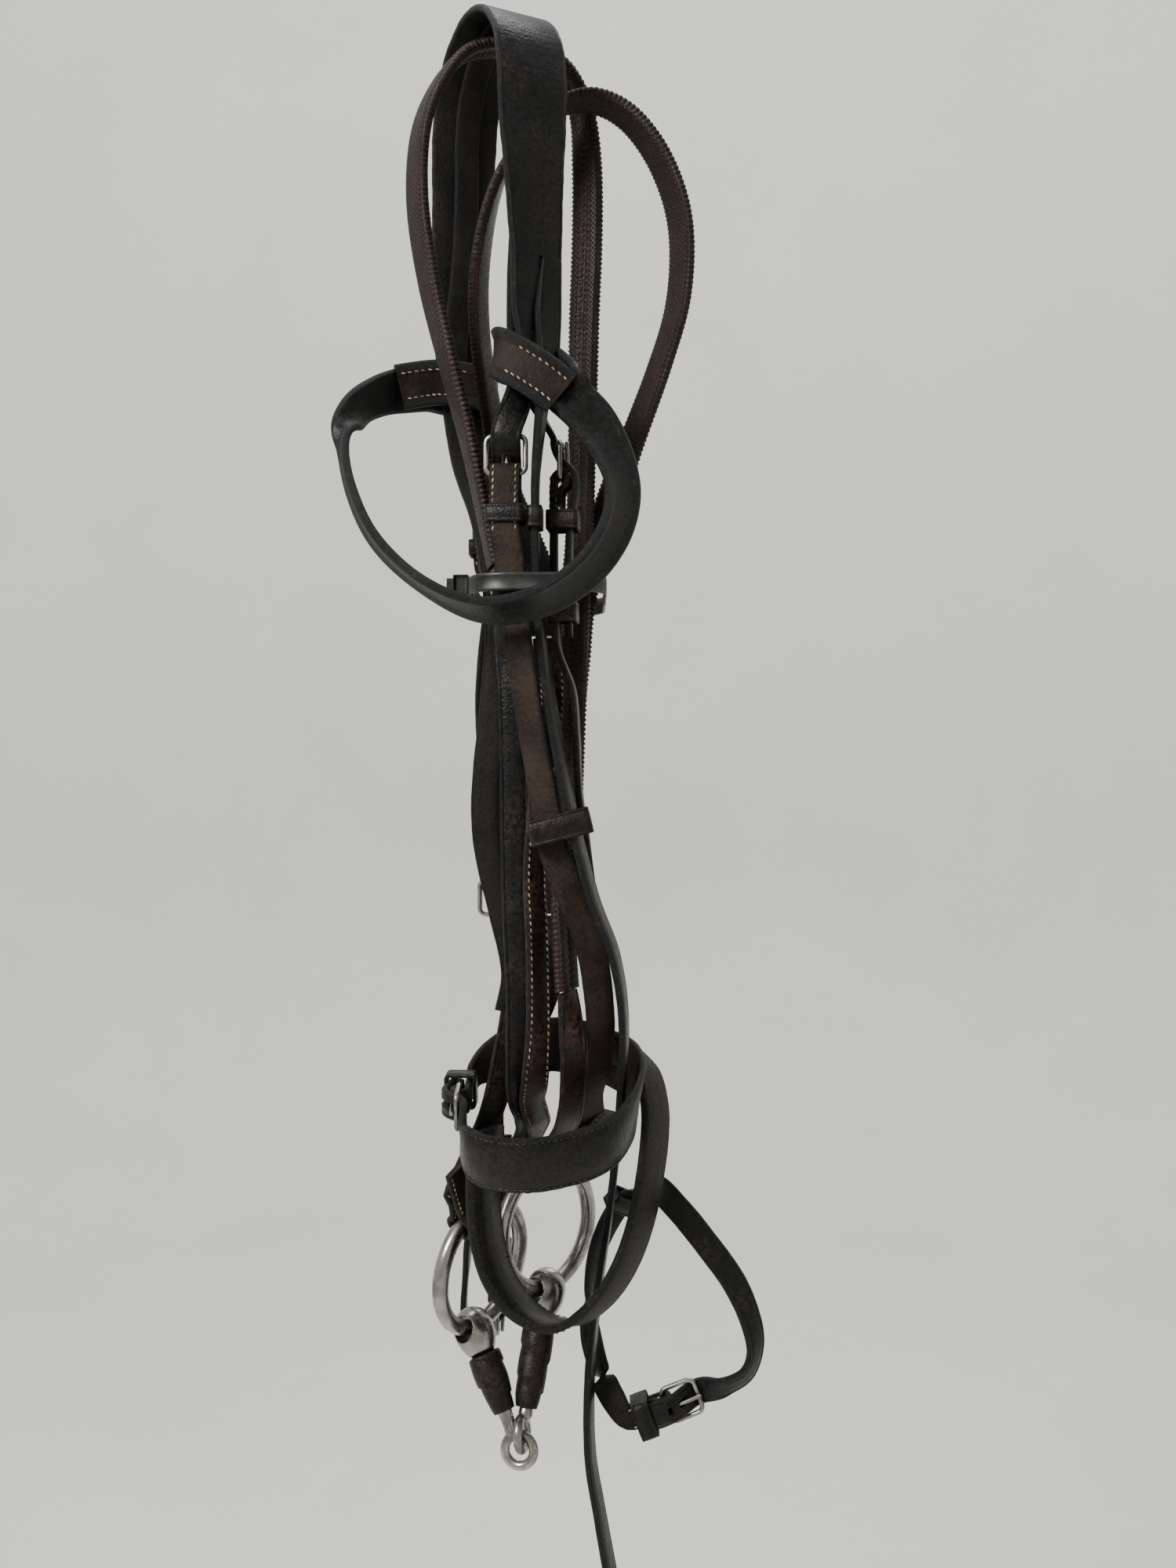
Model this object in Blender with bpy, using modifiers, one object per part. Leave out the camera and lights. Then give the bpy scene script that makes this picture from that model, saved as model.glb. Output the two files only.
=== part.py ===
"""Snaffle bridle, hung up by its crown with the reins looped through and the bundle tied.

Blender 4.5, metres, +Z up.  The origin is the underside of the crown, where a peg holds it.
+X is to the right, -Y is towards a person in front of it.  Routes are written in millimetres.
"""

import math

import bmesh
import bpy
from mathutils import Matrix, Vector

MM = 0.001
GAP = 0.3            # clearance between pieces that touch, mm

# Leather
HEAD_WIDTH = 35.0    # headpiece over the poll
SPLIT_WIDTH = 29.0   # headpiece where it splits into cheek and throatlash
HEAD_THICK = 3.5
SLIP_WIDTH = 13.0    # noseband sliphead, throatlash and flash strap
CHEEK_WIDTH = 14.0
BROW_WIDTH = 23.0
NOSE_WIDTH = 28.0
NOSE_THICK = 4.2
REIN_WIDTH = 14.0
GRIP_WIDTH = 16.0
GRIP_THICK = 5.6
LEATHER = 3.0        # single strap thickness

# Crown
ARCH_RADIUS = 38.5   # inside of the sliphead over the peg
ARCH_TURN = 26.0     # heading of the strap's width, degrees from +X

# Bit
RING_RADIUS = 31.5   # centre line of the loose ring
RING_ROD = 4.0       # radius of its rod
BOSS_HOLE = 6.3
EYE_RADIUS = 7.4
EYE_ROD = 2.4

# Buckles
BUCKLE_ROD = 1.25
BUCKLE_LENGTH = 17.0
TONGUE_ROD = 1.0

COLOURS = {
    "black_leather": ((0.028, 0.026, 0.026), 0.45, 0.0),
    "brown_leather": ((0.075, 0.045, 0.032), 0.60, 0.0),
    "rein_leather": ((0.060, 0.022, 0.020), 0.55, 0.0),
    "rein_rubber": ((0.045, 0.020, 0.019), 0.70, 0.0),
    "steel": ((0.55, 0.54, 0.52), 0.28, 1.0),
    "black_plastic": ((0.012, 0.012, 0.013), 0.30, 0.0),
}


def clear_scene():
    for item in list(bpy.data.objects):
        bpy.data.objects.remove(item)


def new_collection(name):
    made = bpy.data.collections.new(name)
    bpy.context.scene.collection.children.link(made)
    return made


def finish_of(node, finish):
    """A material of the node's own in one of the bridle's finishes."""
    colour, roughness, metallic = COLOURS[finish]
    made = bpy.data.materials.new(f"{node}_{finish}")
    made.use_nodes = True
    shader = made.node_tree.nodes["Principled BSDF"]
    shader.inputs["Base Color"].default_value = (*colour, 1.0)
    shader.inputs["Roughness"].default_value = roughness
    shader.inputs["Metallic"].default_value = metallic
    return made


def add_object(name, data, finish):
    """Put mesh or curve data in the bridle under its node name."""
    made = bpy.data.objects.new(name, data)
    BRIDLE.objects.link(made)
    made.data.materials.append(finish_of(name, finish))
    return made


def across(heading):
    """Width direction: a heading in degrees for a strap that hangs, or a vector as given."""
    if isinstance(heading, (int, float)):
        turn = math.radians(heading)
        return Vector((math.cos(turn), math.sin(turn), 0.0))
    return Vector(heading).normalized()


def spline(stops, steps):
    """Smooth curve through the stops; each stop is a list of numbers of one length."""
    line = []
    last = len(stops) - 1
    for index in range(last):
        before = stops[max(index - 1, 0)]
        here = stops[index]
        there = stops[index + 1]
        after = stops[min(index + 2, last)]
        for step in range(steps):
            t = step / steps
            line.append([
                0.5 * (2 * b + (c - a) * t + (2 * a - 5 * b + 4 * c - d) * t * t
                       + (3 * b - a - 3 * c + d) * t ** 3)
                for a, b, c, d in zip(before, here, there, after)
            ])
    line.append(list(stops[last]))
    return line


def stations(stops, steps, width):
    """Points, width directions and widths along a strap, in mm.

    A stop is (x, y, z, heading), or (x, y, z, heading, width) where the strap narrows.
    """
    rows = []
    for stop in stops:
        side = across(stop[3])
        if rows and side.dot(Vector(rows[-1][3:6])) < 0:
            side = -side
        rows.append([*stop[:3], *side, *(stop[4:] or (width,))])
    line = spline(rows, steps)
    places = []
    for index, row in enumerate(line):
        ahead = Vector(line[min(index + 1, len(line) - 1)][:3])
        behind = Vector(line[max(index - 1, 0)][:3])
        along = (ahead - behind).normalized()
        side = Vector(row[3:6])
        side = (side - side.dot(along) * along).normalized()
        places.append((Vector(row[:3]), side, row[6]))
    return places


def run_ribbon(bm, edge, places):
    """Extrude an edge of two vertices along the stations."""
    left, right = edge
    for point, side, width in places:
        half = width / 2
        made = bmesh.ops.extrude_edge_only(bm, edges=[bm.edges.get((left, right))])
        pair = [item for item in made["geom"] if isinstance(item, bmesh.types.BMVert)]
        ends = (point - half * side, point + half * side)
        follow_left = next(v for v in pair if any(e.other_vert(v) is left for e in v.link_edges))
        follow_right = next(v for v in pair if v is not follow_left)
        follow_left.co = ends[0] * MM
        follow_right.co = ends[1] * MM
        left, right = follow_left, follow_right


def start_edge(bm, place):
    point, side, width = place
    left = bm.verts.new((point - width / 2 * side) * MM)
    right = bm.verts.new((point + width / 2 * side) * MM)
    bm.edges.new((left, right))
    return left, right


def thicken(made, thick):
    solid = made.modifiers.new("leather", "SOLIDIFY")
    solid.thickness = thick * MM
    solid.offset = 0.0
    solid.use_even_offset = True


def strap(name, stops, width, thick, finish="black_leather", steps=3):
    """A strap as an open ribbon along its stops, given its thickness by Solidify."""
    places = stations(stops, steps, width)
    bm = bmesh.new()
    edge = start_edge(bm, places[0])
    run_ribbon(bm, edge, places[1:])
    mesh = bpy.data.meshes.new(name)
    bm.to_mesh(mesh)
    bm.free()
    made = add_object(name, mesh, finish)
    thicken(made, thick)
    return made


def rod(name, points, radius, finish="steel", closed=False, sides=2):
    """A bent rod as a bevelled curve; a closed one is a welded loop."""
    curve = bpy.data.curves.new(name, "CURVE")
    curve.dimensions = "3D"
    curve.bevel_depth = radius * MM
    curve.bevel_resolution = sides
    curve.use_fill_caps = not closed
    line = curve.splines.new("POLY")
    line.points.add(len(points) - 1)
    for spot, point in zip(line.points, points):
        spot.co = (*(Vector(point) * MM), 1.0)
    line.use_cyclic_u = closed
    return add_object(name, curve, finish)


def placed(origin, along, outward):
    """Frame of a buckle: local X across the strap, Y along it, Z out of its face."""
    y = Vector(along).normalized()
    z = Vector(outward)
    z = (z - z.dot(y) * y).normalized()
    x = y.cross(z)
    return Matrix.Translation(Vector(origin)) @ Matrix((x, y, z)).transposed().to_4x4()


def rounded_frame(half_x, half_y, corner, turns=3):
    """Corner-rounded rectangle in the buckle's own plane, in mm."""
    line = []
    for quarter in range(4):
        sign_x = 1 if quarter in (0, 3) else -1
        sign_y = 1 if quarter in (0, 1) else -1
        for step in range(turns + 1):
            angle = math.pi / 2 * (quarter + step / turns)
            line.append(Vector((sign_x * (half_x - corner) + corner * math.cos(angle),
                                sign_y * (half_y - corner) + corner * math.sin(angle), 0.0)))
    return line


def buckle(name, place, width, finish="steel"):
    """A single-bar buckle: its frame, and the tongue that hangs on its heel bar.

    The heel bar is at local y = 0, the front bar at y = BUCKLE_LENGTH.
    """
    half_x = width / 2 + 2.2
    middle = BUCKLE_LENGTH / 2
    outline = [place @ (p + Vector((0, middle, 0)))
               for p in rounded_frame(half_x, middle, 3.0)]
    rod(f"{name}_buckle", outline, BUCKLE_ROD, finish, closed=True, sides=1)
    reach = BUCKLE_LENGTH + 1.6
    lift = BUCKLE_ROD + TONGUE_ROD + GAP
    tongue = [(0, -0.4, lift), (0, 5.0, lift + 0.5), (0, 11.0, lift + 0.3), (0, reach, lift)]
    rod(f"{name}_tongue", [place @ Vector(p) for p in tongue], TONGUE_ROD, finish, sides=1)


def sleeve(name, place, half_x, half_z, length, wall, finish="black_leather", corner=1.0):
    """A keeper: a flat loop round the straps, open at both ends; the sizes are its inside."""
    bm = bmesh.new()
    outline = rounded_frame(half_x, half_z, corner, 2 if corner < 4 else 4)
    rings = []
    for end in (-length / 2, length / 2):
        row = [bm.verts.new((place @ Vector((p.x, end, p.y))) * MM) for p in outline]
        rings.append([bm.edges.new((row[i], row[(i + 1) % len(row)])) for i in range(len(row))])
    bmesh.ops.bridge_loops(bm, edges=rings[0] + rings[1])
    bmesh.ops.recalc_face_normals(bm, faces=bm.faces)
    mesh = bpy.data.meshes.new(name)
    bm.to_mesh(mesh)
    bm.free()
    made = add_object(name, mesh, finish)
    solid = made.modifiers.new("leather", "SOLIDIFY")
    solid.thickness = wall * MM
    solid.offset = 1.0
    solid.use_even_offset = True
    return made


def arch(radius, count):
    """Stops over the peg, from the far leg to the near leg, at one radius."""
    turn = math.radians(ARCH_TURN)
    across_peg = Vector((math.sin(turn), -math.cos(turn), 0.0))
    line = []
    for index in range(count + 1):
        angle = math.pi * (1 - index / count)
        point = across_peg * radius * math.cos(angle)
        point.z = -ARCH_RADIUS + radius * math.sin(angle)
        line.append((*point, ARCH_TURN))
    return line


def split_leg(bm, edges, legs):
    """Carry each side of a split strap on as its own narrow strap."""
    for edge, (stops, width) in zip(edges, legs):
        middle = (edge[0].co + edge[1].co) / 2 / MM
        side = (edge[1].co - edge[0].co).normalized()
        own_width = (edge[1].co - edge[0].co).length / MM
        first = (*middle, tuple(side), own_width)
        run_ribbon(bm, edge, stations([first, *stops], 3, width)[1:])


def headpiece():
    """One strap over the poll; each leg splits into a cheek billet and a throatlash strap."""
    radius = ARCH_RADIUS + LEATHER + GAP + HEAD_THICK / 2
    over = arch(radius, 6)
    far = [(-22, 38, -122, 26, SPLIT_WIDTH), (-21, 39, -85, 26, 31), (-19.6, 39.1, -60, 26, 34)]
    near = [(19.4, -39.4, -60, 27, 34), (20, -40, -85, 31, 31), (21, -38, -122, 40, SPLIT_WIDTH)]
    places = stations(far + over + near, 3, HEAD_WIDTH)
    bm = bmesh.new()
    rows = []
    for point, side, width in places:
        half = width / 2
        columns = (-half, half * 0.10, half * 0.16, half)
        rows.append([bm.verts.new((point + side * c) * MM) for c in columns])
    for here, there in zip(rows, rows[1:]):
        for left, right in ((0, 1), (1, 2), (2, 3)):
            bm.faces.new((here[left], here[right], there[right], there[left]))
    ends = rows[-1]
    split_leg(bm, [(ends[0], ends[1]), (ends[2], ends[3])], [
        (NEAR_BILLET, CHEEK_WIDTH), (NEAR_THROATLASH, SLIP_WIDTH)])
    ends = rows[0]
    split_leg(bm, [(ends[0], ends[1]), (ends[2], ends[3])], [
        (FAR_BILLET, CHEEK_WIDTH), (FAR_THROATLASH, SLIP_WIDTH)])
    bmesh.ops.recalc_face_normals(bm, faces=bm.faces)
    mesh = bpy.data.meshes.new("headpiece")
    bm.to_mesh(mesh)
    bm.free()
    thicken(add_object("headpiece", mesh, "black_leather"), HEAD_THICK)


# Routes below the splits, as (x, y, z, heading of the width)
NEAR_BILLET = [(18, -39, -146, 58), (18, -39.5, -166, 60), (13, -42, -188, 35),
               (8.6, -46.2, -202, 6), (7.2, -46.8, -208, -6), (7.1, -43.4, -213, -6),
               (7.1, -38.0, -219, -6), (7.1, -35.8, -225, -6), (7.2, -36.6, -232, -6),
               (7.4, -38.5, -243, -6), (7.6, -39.2, -254, -8, 8)]
NEAR_THROATLASH = [(25, -38.5, -146, 60), (25.5, -40, -166, 62), (24, -41.5, -190, 74),
                   (21, -41.2, -222, 87), (20.6, -39.4, -244, 88), (20.8, -39.5, -262, 87),
                   (23.5, -41.5, -300, 80), (29.5, -43.5, -340, 74), (35.5, -45.5, -372, 72),
                   (38.5, -46.2, -386, 72), (47.5, -44.5, -420, 74), (57.5, -37, -448, 76),
                   (62, -26, -482, 80), (60, -9, -530, 84), (56, 6, -575, 84),
                   (50, 12, -620, 80), (46, 12, -660, 78), (46, 12, -700, 76),
                   (51, 12, -732, 74), (57, 12, -766, 72), (58, 12, -776, 72, 6)]
FAR_BILLET = [(-27, 36, -146, 26), (-25, 37, -166, 24), (-15, 42, -190, 12),
              (-8.5, 44.4, -204, 2), (-7.6, 44.4, -210, 0), (-7.6, 40.8, -215, 0),
              (-7.6, 36, -221, 0), (-7.6, 33.8, -227, 0), (-7.5, 34.6, -234, 0),
              (-7.2, 36.5, -243, 0), (-7, 37, -254, 0, 8)]
FAR_THROATLASH = [(-13.5, 42, -146, 26), (-12.5, 42.5, -178, 28), (-3, 38, -200, 40),
                  (1, 28, -225, 52), (0, 20, -262, 50), (-4, 17, -300, 28),
                  (-5, 15, -335, 10), (-1.6, 18.8, -375, 2), (-1, 19.4, -395, 0)]


def sliphead():
    """Narrow strap under the headpiece that carries the noseband on both sides."""
    over = arch(ARCH_RADIUS + LEATHER / 2, 6)
    near = [(17.5, -36, -60, 27), (16.5, -37, -85, 32), (13, -35, -120, 46),
            (11.5, -34.5, -148, 58), (12, -33.5, -166, 60), (15, -30.7, -180, 66),
            (23, -26.6, -194, 76), (28.8, -25.8, -204, 84), (29.3, -26, -209, 85),
            (31.6, -26, -214, 85), (38.1, -26, -220, 85), (39.5, -26, -226, 85),
            (38.9, -26, -233, 85), (36.9, -26, -243, 85), (36.2, -26, -262, 85),
            (36.2, -26, -298, 85, 7)]
    far = [(6, -7, -478, 14), (9, -4, -458, 10), (3, -3, -430, 0), (-3, -7, -404, -6),
           (-5, -11, -384, -6), (-4, -14.5, -362, -5), (-1, -17.5, -336, -3),
           (1.5, -18.5, -310, 0), (1.5, -15, -280, 6), (-6, 2, -240, 20), (-18, 22, -205, 26),
           (-24, 29, -166, 26), (-23, 32, -140, 26), (-19, 34.5, -100, 26),
           (-17.5, 36, -60, 26)]
    strap("noseband_sliphead", far + over + near, SLIP_WIDTH, LEATHER)


def browband():
    """Flat band across the forehead, each end folded back and stitched into a loop."""
    upright = (0.0, 0.0, 1.0)
    right_loop = [
        (33, -49.5, -189, (0.25, 0.1, 0.97)), (24, -50.5, -182, (0.3, 0.1, 0.95)),
        (12, -49, -174, (0.3, 0.05, 0.95)), (3.5, -45, -169, (0.2, 0, 1)),
        (2, -37, -167, upright), (5, -27, -167, upright),
        (16, -22.3, -168, upright), (27, -26.5, -172, upright),
        (34, -37, -181, (0.1, 0.1, 0.99)), (37, -44.5, -189, (0.3, 0.2, 0.93))]
    droop = [
        (48, -42, -200, (0.75, 0.35, 0.6)), (57, -43, -216, (0.75, 0.6, 0.3)),
        (61, -47, -234, (0.65, 0.75, 0.0)), (56, -55.5, -255, (0.5, 0.8, -0.35)),
        (42, -61.5, -274, (0.3, 0.85, -0.45)), (20, -64, -287, (0.1, 0.9, -0.45)),
        (-5, -63, -289, (0, 0.95, -0.3)), (-30, -58, -277, (-0.1, 1, -0.1)),
        (-52, -50, -256, (-0.2, 1, 0)), (-65, -40, -230, (-0.25, 0.95, 0.2)),
        (-70, -28, -205, (-0.2, 0.75, 0.6)), (-67, -12, -187, (-0.1, 0.4, 0.9)),
        (-58, 6, -175, upright), (-46, 20.5, -168, upright)]
    left_loop = [
        (-38, 30, -165, upright), (-33, 38.5, -164, upright), (-24, 46.5, -164, upright),
        (-12, 51, -164, upright), (-3.5, 47, -164, upright), (-4, 37, -164, upright),
        (-14, 28, -164, upright), (-24, 22.5, -164, upright), (-34, 18.5, -165, upright),
        (-49, 12.5, -169, upright)]
    strap("browband", right_loop + droop + left_loop, BROW_WIDTH, LEATHER, steps=3)


def fold_round(centre, tangent, leave, radius, layer, lengths):
    """Stops of a strap that comes to a rod, goes round it and returns against itself.

    `leave` points from the rod up along the strap, `lengths` are the two runs above the rod.
    """
    up = Vector(leave).normalized()
    side = Vector(tangent).normalized()
    side = (side - side.dot(up) * up).normalized()
    out = side.cross(up)
    middle = Vector(centre)
    close = layer / 2
    run_in, run_back = lengths
    line = [middle + up * run_in - out * close, middle + up * (radius + 9) - out * close]
    for step in range(7):
        angle = math.radians(-150 + 50 * step)
        line.append(middle + (out * math.sin(angle) - up * math.cos(angle)) * radius)
    line += [middle + up * (radius + 9) + out * close, middle + up * run_back + out * close]
    return [(*point, tuple(side)) for point in line]


def ring_frame(bottom, upright, width_heading):
    """Centre, up, across and normal of a loose ring that hangs from the given lowest point."""
    up = Vector(upright).normalized()
    side = across(width_heading)
    side = (side - side.dot(up) * up).normalized()
    centre = Vector(bottom) + up * RING_RADIUS
    return centre, up, side, side.cross(up)


def on_ring(frame, degrees):
    """Point on the rod's centre line and its tangent, degrees from the top towards +side."""
    centre, up, side, _ = frame
    angle = math.radians(degrees)
    point = centre + (up * math.cos(angle) + side * math.sin(angle)) * RING_RADIUS
    return point, side * math.cos(angle) - up * math.sin(angle)


LEFT_BOSS = Vector((-13.5, 24, -642))
RIGHT_BOSS = Vector((23.5, 36, -626))
JOINT = Vector((11, 7, -697))
LEFT_RING = ring_frame(LEFT_BOSS, (0.14, 0, 0.99), 55)
RIGHT_RING = ring_frame(RIGHT_BOSS, (0, 0, 1), 47)
LOOP_RADIUS = RING_ROD + 1.2 + LEATHER / 2


def to_ring(ring, degrees, route, layer, lengths, lean=None):
    """Stops of a strap that follows its route down to the ring, folds round it and comes back."""
    point, tangent = on_ring(ring, degrees)
    radial = (point - ring[0]).normalized()
    leave = Vector(lean) if lean else radial
    leave = leave - leave.dot(tangent) * tangent
    return route + fold_round(point, tangent, leave, LOOP_RADIUS, layer, lengths)


def buckle_turn(place, back):
    """Stops of a cheek's top: it runs up under the heel bar, over it and back down, stitched."""
    radius = BUCKLE_ROD + GAP + LEATHER / 2 + 0.3
    x = place.to_3x3() @ Vector((1, 0, 0))
    line = []
    for y, z in ((-back, -LEATHER - 2 * GAP), (-5, -LEATHER - 2 * GAP), (-2.2, -radius), (0.6, -radius),
                 (radius, -0.6), (radius * 0.7, radius * 0.75), (-0.6, radius), (-2.6, radius - 0.4),
                 (-5, GAP), (-12, 0)):
        line.append((*(place @ Vector((0, y, z))), tuple(x)))
    return line


DOWN = (0, 0, -1)
UP = (0, 0, 1)
NEAR_BUCKLE = placed((7.1, -43, -224), UP, (0.1, 1, 0))
SLIP_BUCKLE = placed((32.5, -26, -224), UP, (1, -0.09, 0))
FAR_BUCKLE = placed((-7.6, 41, -226), UP, (0, -1, 0))
THROAT_BUCKLE = placed((-1, 23, -416), DOWN, (0, 1, 0))
JAW_BUCKLE = placed((-17.5, -5, -521), (0, -1, -0.15), (-1, 0, 0))
FLASH_BUCKLE = placed((84, 13, -678), (0.93, 0, 0.36), (0.1, -1, 0))
REIN_BUCKLE = placed((-3, 60, -640), DOWN, (1, 0, 0))


def cheekpieces():
    """Each cheekpiece folds round its buckle above and round its bit ring below."""
    near = [(9, -46.4, -264, -12), (11.5, -45.6, -290, -20), (15.5, -44.5, -320, -26),
            (20.5, -43.8, -350, -28), (26, -44, -381, -16), (30, -43.6, -400, -6),
            (38, -42, -420, 2), (47, -36, -446, 8), (51, -24, -480, 20),
            (50, -4, -506, 36), (46.5, 13, -524, 46)]
    top = list(reversed(buckle_turn(NEAR_BUCKLE, 26)))
    strap("cheekpiece_right", to_ring(RIGHT_RING, 18, top + near, LEATHER + 0.5, (28, 40),
                                      (0.606, -0.227, 0.76)), CHEEK_WIDTH, LEATHER, steps=3)
    far = [(-5.5, 43, -258, 2), (2.6, 34, -276, 4), (6, 26, -315, 6), (11, 15, -350, 6),
           (12, 8, -390, 4), (12, 7, -430, 4), (10, 8, -470, 8), (3, 8, -508, 22),
           (-5, 8, -535, 40)]
    top = list(reversed(buckle_turn(FAR_BUCKLE, 26)))
    strap("cheekpiece_left", to_ring(LEFT_RING, -33, top + far, LEATHER + 0.5, (22, 34),
                                     (-0.12, -0.4, 0.9)), CHEEK_WIDTH, LEATHER, steps=3)


def noseband_strap():
    """Right side of the sliphead: from its buckle down to the noseband."""
    top = list(reversed(buckle_turn(SLIP_BUCKLE, 26)))
    down = [(29, -26.5, -262, 85), (30.2, -27, -300, 85), (37.5, -28, -322, 85),
            (39.5, -29, -342, 85), (41, -29.5, -372, 86), (44.5, -25, -394, 88),
            (47, -15, -420, 96), (46, -8, -450, 106), (49, 0, -478, 116), (54, 8, -494, 125),
            (57.6, 11.8, -506, 127)]
    strap("noseband_cheek_right", top + down, SLIP_WIDTH, LEATHER, steps=3)


def reins():
    """Two reins: a rubber grip, a leather end to the bit and a leather end to the hand."""
    first_grip = [
        (0.8, -24.5, -264, -75), (-3.5, -24.5, -243, -75), (-11, -27, -207, -70),
        (-21, -29, -168, -64), (-30, -29, -130, -58), (-35.5, -27, -92, -56),
        (-34.5, -23, -58, -58), (-27, -17, -33, -60), (-15, -8.5, -13.5, -62),
        (1, 0.5, -5.6, -64), (18, 9, -4.5, -64), (32, 17, -9, -60), (41.5, 23, -26, -52),
        (44.5, 26, -54, -34), (44.5, 26, -92, -30), (43, 25, -134, -32), (42, 22, -192, -40),
        (40.5, 17, -246, -40), (37.5, 13.5, -285, -20),
        (35, 6, -345, 2), (34, -6, -373, 12), (34.5, -18, -396, 28), (34, -29, -416, 42),
        (34, -32.5, -440, 58), (35.2, -32, -463, 58)]
    strap("rein_grip_left", first_grip, GRIP_WIDTH, GRIP_THICK, "rein_rubber", steps=3)
    second_grip = [
        (25, -15, -296, 12), (24, -14, -275, 15), (15, -13, -248, 35), (4, -11, -216, 55),
        (-5, -8.5, -168, 66), (-8, -8, -138, 68), (-7, -7, -112, 74), (-2, -5, -84, 86),
        (6, -2, -62, 102), (19, 1, -42, 118), (34, 5, -31, (-0.2, 0.95, -0.1)),
        (50, 7, -29, (-0.2, 0.95, -0.2)), (67, 7, -39, (-0.35, 0.9, -0.2)),
        (82, 5, -62, (-0.5, 0.85, -0.1)), (90.5, 3, -92, 124), (89.5, 2, -128, 126),
        (80, 3, -162, 128), (64, 12, -204, 136), (51, 26, -240, 152), (41, 30, -272, 170),
        (37.5, 28, -305, 180), (33, 20, -350, 188), (30, 16, -400, 188), (29, 14, -432, 188)]
    strap("rein_grip_right", second_grip, GRIP_WIDTH, GRIP_THICK, "rein_rubber", steps=3)

    first_hand = [
        (1, -24.5, -265.2, -75), (5, -26, -290, -48), (9, -26.5, -320, -12), (10, -25, -350, 0),
        (10.5, -24, -390, 0), (11.5, -24, -430, 0), (13, -23.5, -470, 4), (12.5, -20, -505, 20),
        (12, -3, -520, 50), (14, 17, -533, 56), (12, 39.5, -547, 56), (-5, 52, -574, 60),
        (-17, 60, -604, 78), (-20, 60, -628, 90), (-21, 60, -648, 90), (-18, 60, -664, 90),
        (-12, 60, -671, 90), (-7, 60, -665, 90), (-6.1, 60, -657, 90), (-3.5, 60, -651, 90),
        (1.6, 60, -645.5, 90), (3.7, 60, -640, 90), (3, 60, -632, 90), (0.8, 60, -622, 90),
        (0.6, 60, -606, 90, 8)]
    strap("rein_hand_left", first_hand, REIN_WIDTH, LEATHER, "rein_leather", steps=3)
    turn = list(reversed(buckle_turn(REIN_BUCKLE, 30)))
    second_hand = turn + [
        (-5.2, 60, -598, 82), (4, 55, -575, 64), (18, 39, -548, 56), (19.5, 16, -535, 56),
        (18, -4, -522, 50), (20, -26, -506, 30), (21.5, -30, -480, 44), (21, -30.5, -440, 48),
        (19.9, -30.8, -410, 48), (21.8, -29.8, -380, 48), (24.5, -29, -354, 40), (27, -25, -334, 30),
        (27, -19, -316, 18), (25.3, -15.4, -297.2, 12)]
    strap("rein_hand_right", second_hand, REIN_WIDTH, LEATHER, "rein_leather", steps=3)

    first_bit = [(35.4, -31.9, -464.2, 58), (37, -31, -480, 40), (38, -28, -498, 36), (37, -18, -520, 38),
                 (33, 0, -537, 40)]
    strap("rein_bit_left", to_ring(RIGHT_RING, -22, first_bit, LEATHER + 0.5, (22, 34),
                                   (0.4, -0.6, 0.7)), REIN_WIDTH, LEATHER, "rein_leather")
    second_bit = [(28.9, 13.9, -433.2, 8), (25, 16, -468, 16), (12, 18, -500, 36),
                  (-2, 18, -526, 48)]
    strap("rein_bit_right", to_ring(LEFT_RING, 4, second_bit, LEATHER + 0.5, (24, 34),
                                    (-0.06, -0.12, 0.99)), REIN_WIDTH, LEATHER, "rein_leather")


def noseband():
    """Cavesson noseband: a wide nosepiece, and a wide jaw strap that buckles on the left."""
    outward = (12.6, 24.4, -5.6)
    nosepiece = [
        (-4, -6, -535), (-6, -6, -556), (-5, -7, -580), (0, -8, -602), (10, -9, -618),
        (24, -10, -627), (38, -10, -627), (52, -9, -617), (63, -7, -601), (71, -4, -580),
        (76, 0, -556), (78.5, 8, -536), (77.8, 14, -523)]
    strap("noseband_nosepiece", [(*p, outward) for p in nosepiece], NOSE_WIDTH, NOSE_THICK)
    leaning = (0, -0.3, 0.95)
    jaw = [
        (56, 20, -505, (-0.1, 0.2, 0.97)), (65, 8, -508, (0.1, 0.1, 0.97)),
        (69, -8, -515, (0.15, 0, 0.97)), (66, -24, -524, (0.15, -0.1, 0.97)),
        (56, -38, -533, (0.1, -0.25, 0.96)), (40, -46, -538, leaning), (20, -49, -541, leaning),
        (2, -46, -541, leaning), (-9, -38, -539, (-0.1, -0.2, 0.97)),
        (-13.5, -30, -534, (-0.1, 0, 1), 24), (-14.1, -24.8, -526.5, UP, 14),
        (-14.2, -20.8, -523.4, UP, 13), (-17, -16, -522.6, UP, 13), (-22, -11.5, -522, UP, 13),
        (-24.9, -5, -521, UP, 13), (-22.8, 3.5, -520, UP, 13), (-21.2, 11, -518.6, UP, 13),
        (-20.5, 24, -514, UP, 8)]
    strap("noseband_jaw_strap", jaw, NOSE_WIDTH, LEATHER)
    back = list(reversed(buckle_turn(JAW_BUCKLE, 20)))
    back += [(-11.5, 21, -513, UP, 15), (-5, 27, -509, UP, 21), (8, 32.5, -504, UP, 26),
             (26, 34.5, -501, UP, 28), (44, 29, -502, UP, 28), (51.5, 25, -503.5, UP, 28)]
    strap("noseband_jaw_buckle_strap", back, SLIP_WIDTH, LEATHER)


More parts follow.
